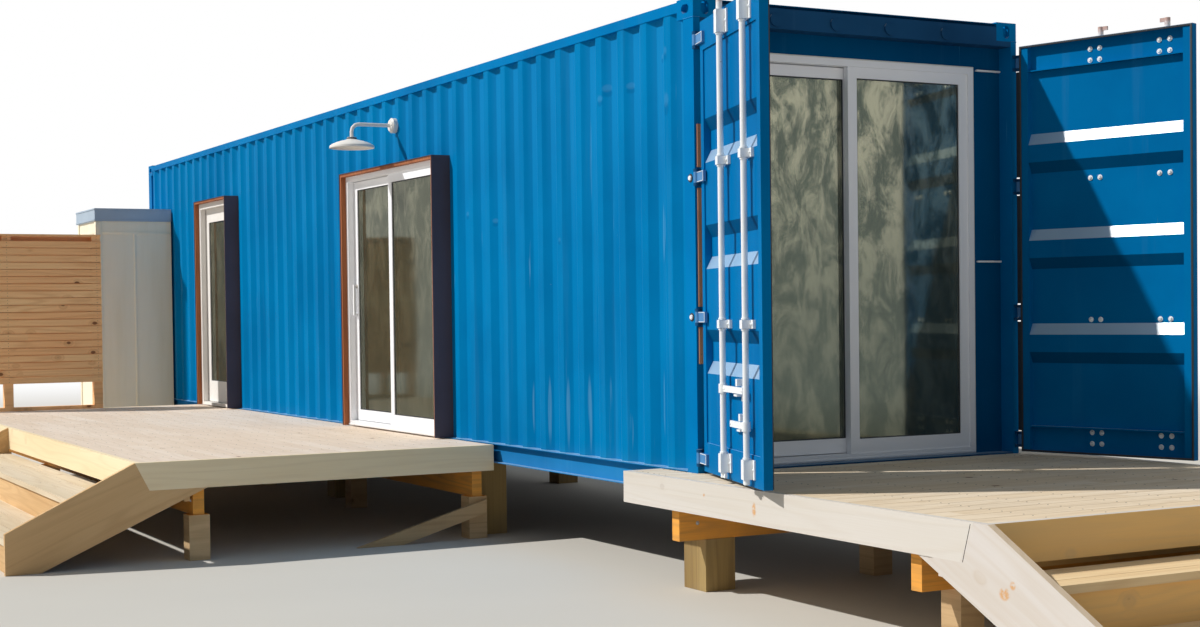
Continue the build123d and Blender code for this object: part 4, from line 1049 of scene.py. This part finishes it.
def screen_back_slats():
    """The screen's second layer of slats, set behind the gaps of the first, the top one wider."""
    slats = Piece("screen_back_slats")
    last = SLAT_COUNT - 2
    for slat in range(SLAT_COUNT - 1):
        low = SLATS_START + slat * SLAT_PITCH + 0.045
        high = low + (0.052 if slat < last else 0.075)
        slats.block((-10.064, -2.560, low), (-10.046, -1.110, high), 0.002)
    slats.done(SLATS)


def batten_face():
    """The batten's face strip, cut away at the hinges, with its nails."""
    strip = Piece("batten_face")
    for low, high in ((1.305, 1.518), (1.636, 2.322), (2.442, 2.691)):
        strip.block((0.000, 0.013, low), (0.012, 0.040, high), 0.001)
    strip.done(BATTEN)
    nails = Piece("batten_nails")
    for level in (1.360, 1.900, 2.640):
        nails.screw((0.012, 0.026, level), PLUS_X, 0.004, 0.001)
    nails.done(SCREW_STEEL)


for side in LEAF_ANGLES:
    cargo_door_bolts(side)
    cargo_door_seal(side)
    cargo_hinge_edge_highlights(side)
    for name in ROD_PLACES:
        rod_details(side, name)
hinge_gap_shade_lip()
hinge_bosses()
wall_foot_bead()
post_welds()
glass_seals()
sliding_door_locks()
door_caulk()
bulkhead_ledges()
entry_gear()
deck_screws()
timber_screws()
fascia_mitres()
barn_light()
closet_trim()
screen_back_slats()
batten_face()


# Floor, light and camera


def ground():
    """A wide pale floor that fades into the white behind."""
    middle_x, fade_y, fade_from, fade_to = -5.0, -0.5, 13.0, 32.0
    finish = Finish("pale_floor")
    skin = finish.blend(finish.noise(0.5, 3), (0.64, 0.61, 0.555), (0.58, 0.55, 0.50))
    shader = finish.node("ShaderNodeBsdfPrincipled", {}, {"Base Color": skin, "Roughness": 0.9})
    glow = finish.node("ShaderNodeEmission", {}, {"Color": (1.0, 1.0, 1.0), "Strength": 1.0})
    reach = ((finish.x - middle_x) ** 2.0 + (finish.y - fade_y) ** 2.0) ** 0.5
    faded = finish.ease(reach, fade_from, fade_to)
    both = finish.node("ShaderNodeMixShader", {}, {0: faded, 1: shader.outputs[0], 2: glow.outputs[0]})
    finish.output(both.outputs[0])
    mesh = bmesh.new()
    bmesh.ops.create_circle(mesh, cap_ends=True, segments=64, radius=60.0)
    bmesh.ops.translate(mesh, verts=mesh.verts, vec=(middle_x, 0.0, -0.001))
    data = bpy.data.meshes.new("studio_floor")
    mesh.to_mesh(data)
    mesh.free()
    data.materials.append(finish.material)
    floor = bpy.data.objects.new("studio_floor", data)
    bpy.context.scene.collection.objects.link(floor)


def sky():
    """White behind the cabin and in its glass, and a soft, low and slightly cool light on everything else."""
    low_light, cool, white = 0.24, (0.86, 0.94, 1.0), (1.0, 1.0, 1.0)
    world = bpy.data.worlds.new("studio")
    bpy.context.scene.world = world
    world.use_nodes = True
    nodes = Nodes(world.node_tree)
    rays = nodes.node("ShaderNodeLightPath").outputs
    seen = Number(nodes, rays["Is Camera Ray"])
    for name in ("Is Transmission Ray", "Is Glossy Ray"):
        seen = seen.most(rays[name])
    level = nodes.number("ShaderNodeMapRange", {}, {"Value": seen, "To Min": low_light, "To Max": 1.0})
    colour = nodes.node("ShaderNodeMix", {"data_type": "RGBA"}, {0: seen, 6: cool, 7: white}).outputs[2]
    back = nodes.node("ShaderNodeBackground", {}, {"Color": colour, "Strength": level})
    nodes.node("ShaderNodeOutputWorld", {}, {0: back.outputs[0]})


def key_light():
    """A sun from the deck side's upper left, as the object is lit."""
    sun_way = Vector((0.52, 1.0, -1.02))
    data = bpy.data.lights.new("key", "SUN")
    data.energy = 3.6
    data.angle = radians(1.2)
    data.color = (1.0, 0.98, 0.94)
    lamp = bpy.data.objects.new("key", data)
    lamp.rotation_euler = sun_way.to_track_quat("-Z", "Y").to_euler()
    bpy.context.scene.collection.objects.link(lamp)


def camera():
    """The photograph's view: its focal length and middle in pixels, and how the camera turns and stands."""
    width, height, film = 1200, 627, 36.0
    focal, centre_x, centre_y = 1740.5, 556.9, 352.5
    yaw, pitch, roll = radians(62.32), radians(1.29), radians(-0.74)
    place = (8.538, -5.392, BASE + 1.079)
    level = Vector((-sin(yaw), cos(yaw), 0.0))
    side = Vector((cos(yaw), sin(yaw), 0.0))
    ahead = level * cos(pitch) - Vector(PLUS_Z) * sin(pitch)
    above = Vector(PLUS_Z) * cos(pitch) + level * sin(pitch)
    right = side * cos(roll) + above * sin(roll)
    up = above * cos(roll) - side * sin(roll)
    data = bpy.data.cameras.new("photo_view")
    data.sensor_width = film
    data.lens = focal / width * film
    data.shift_x = (width / 2 - centre_x) / width
    data.shift_y = (centre_y - height / 2) / width
    data.clip_end = 200.0
    eye = bpy.data.objects.new("photo_view", data)
    turn = Matrix((right, up, -ahead)).transposed()
    eye.matrix_world = Matrix.Translation(place) @ turn.to_4x4()
    bpy.context.scene.collection.objects.link(eye)
    bpy.context.scene.camera = eye


ground()
sky()
key_light()
camera()
bpy.context.scene.view_settings.view_transform = "Standard"
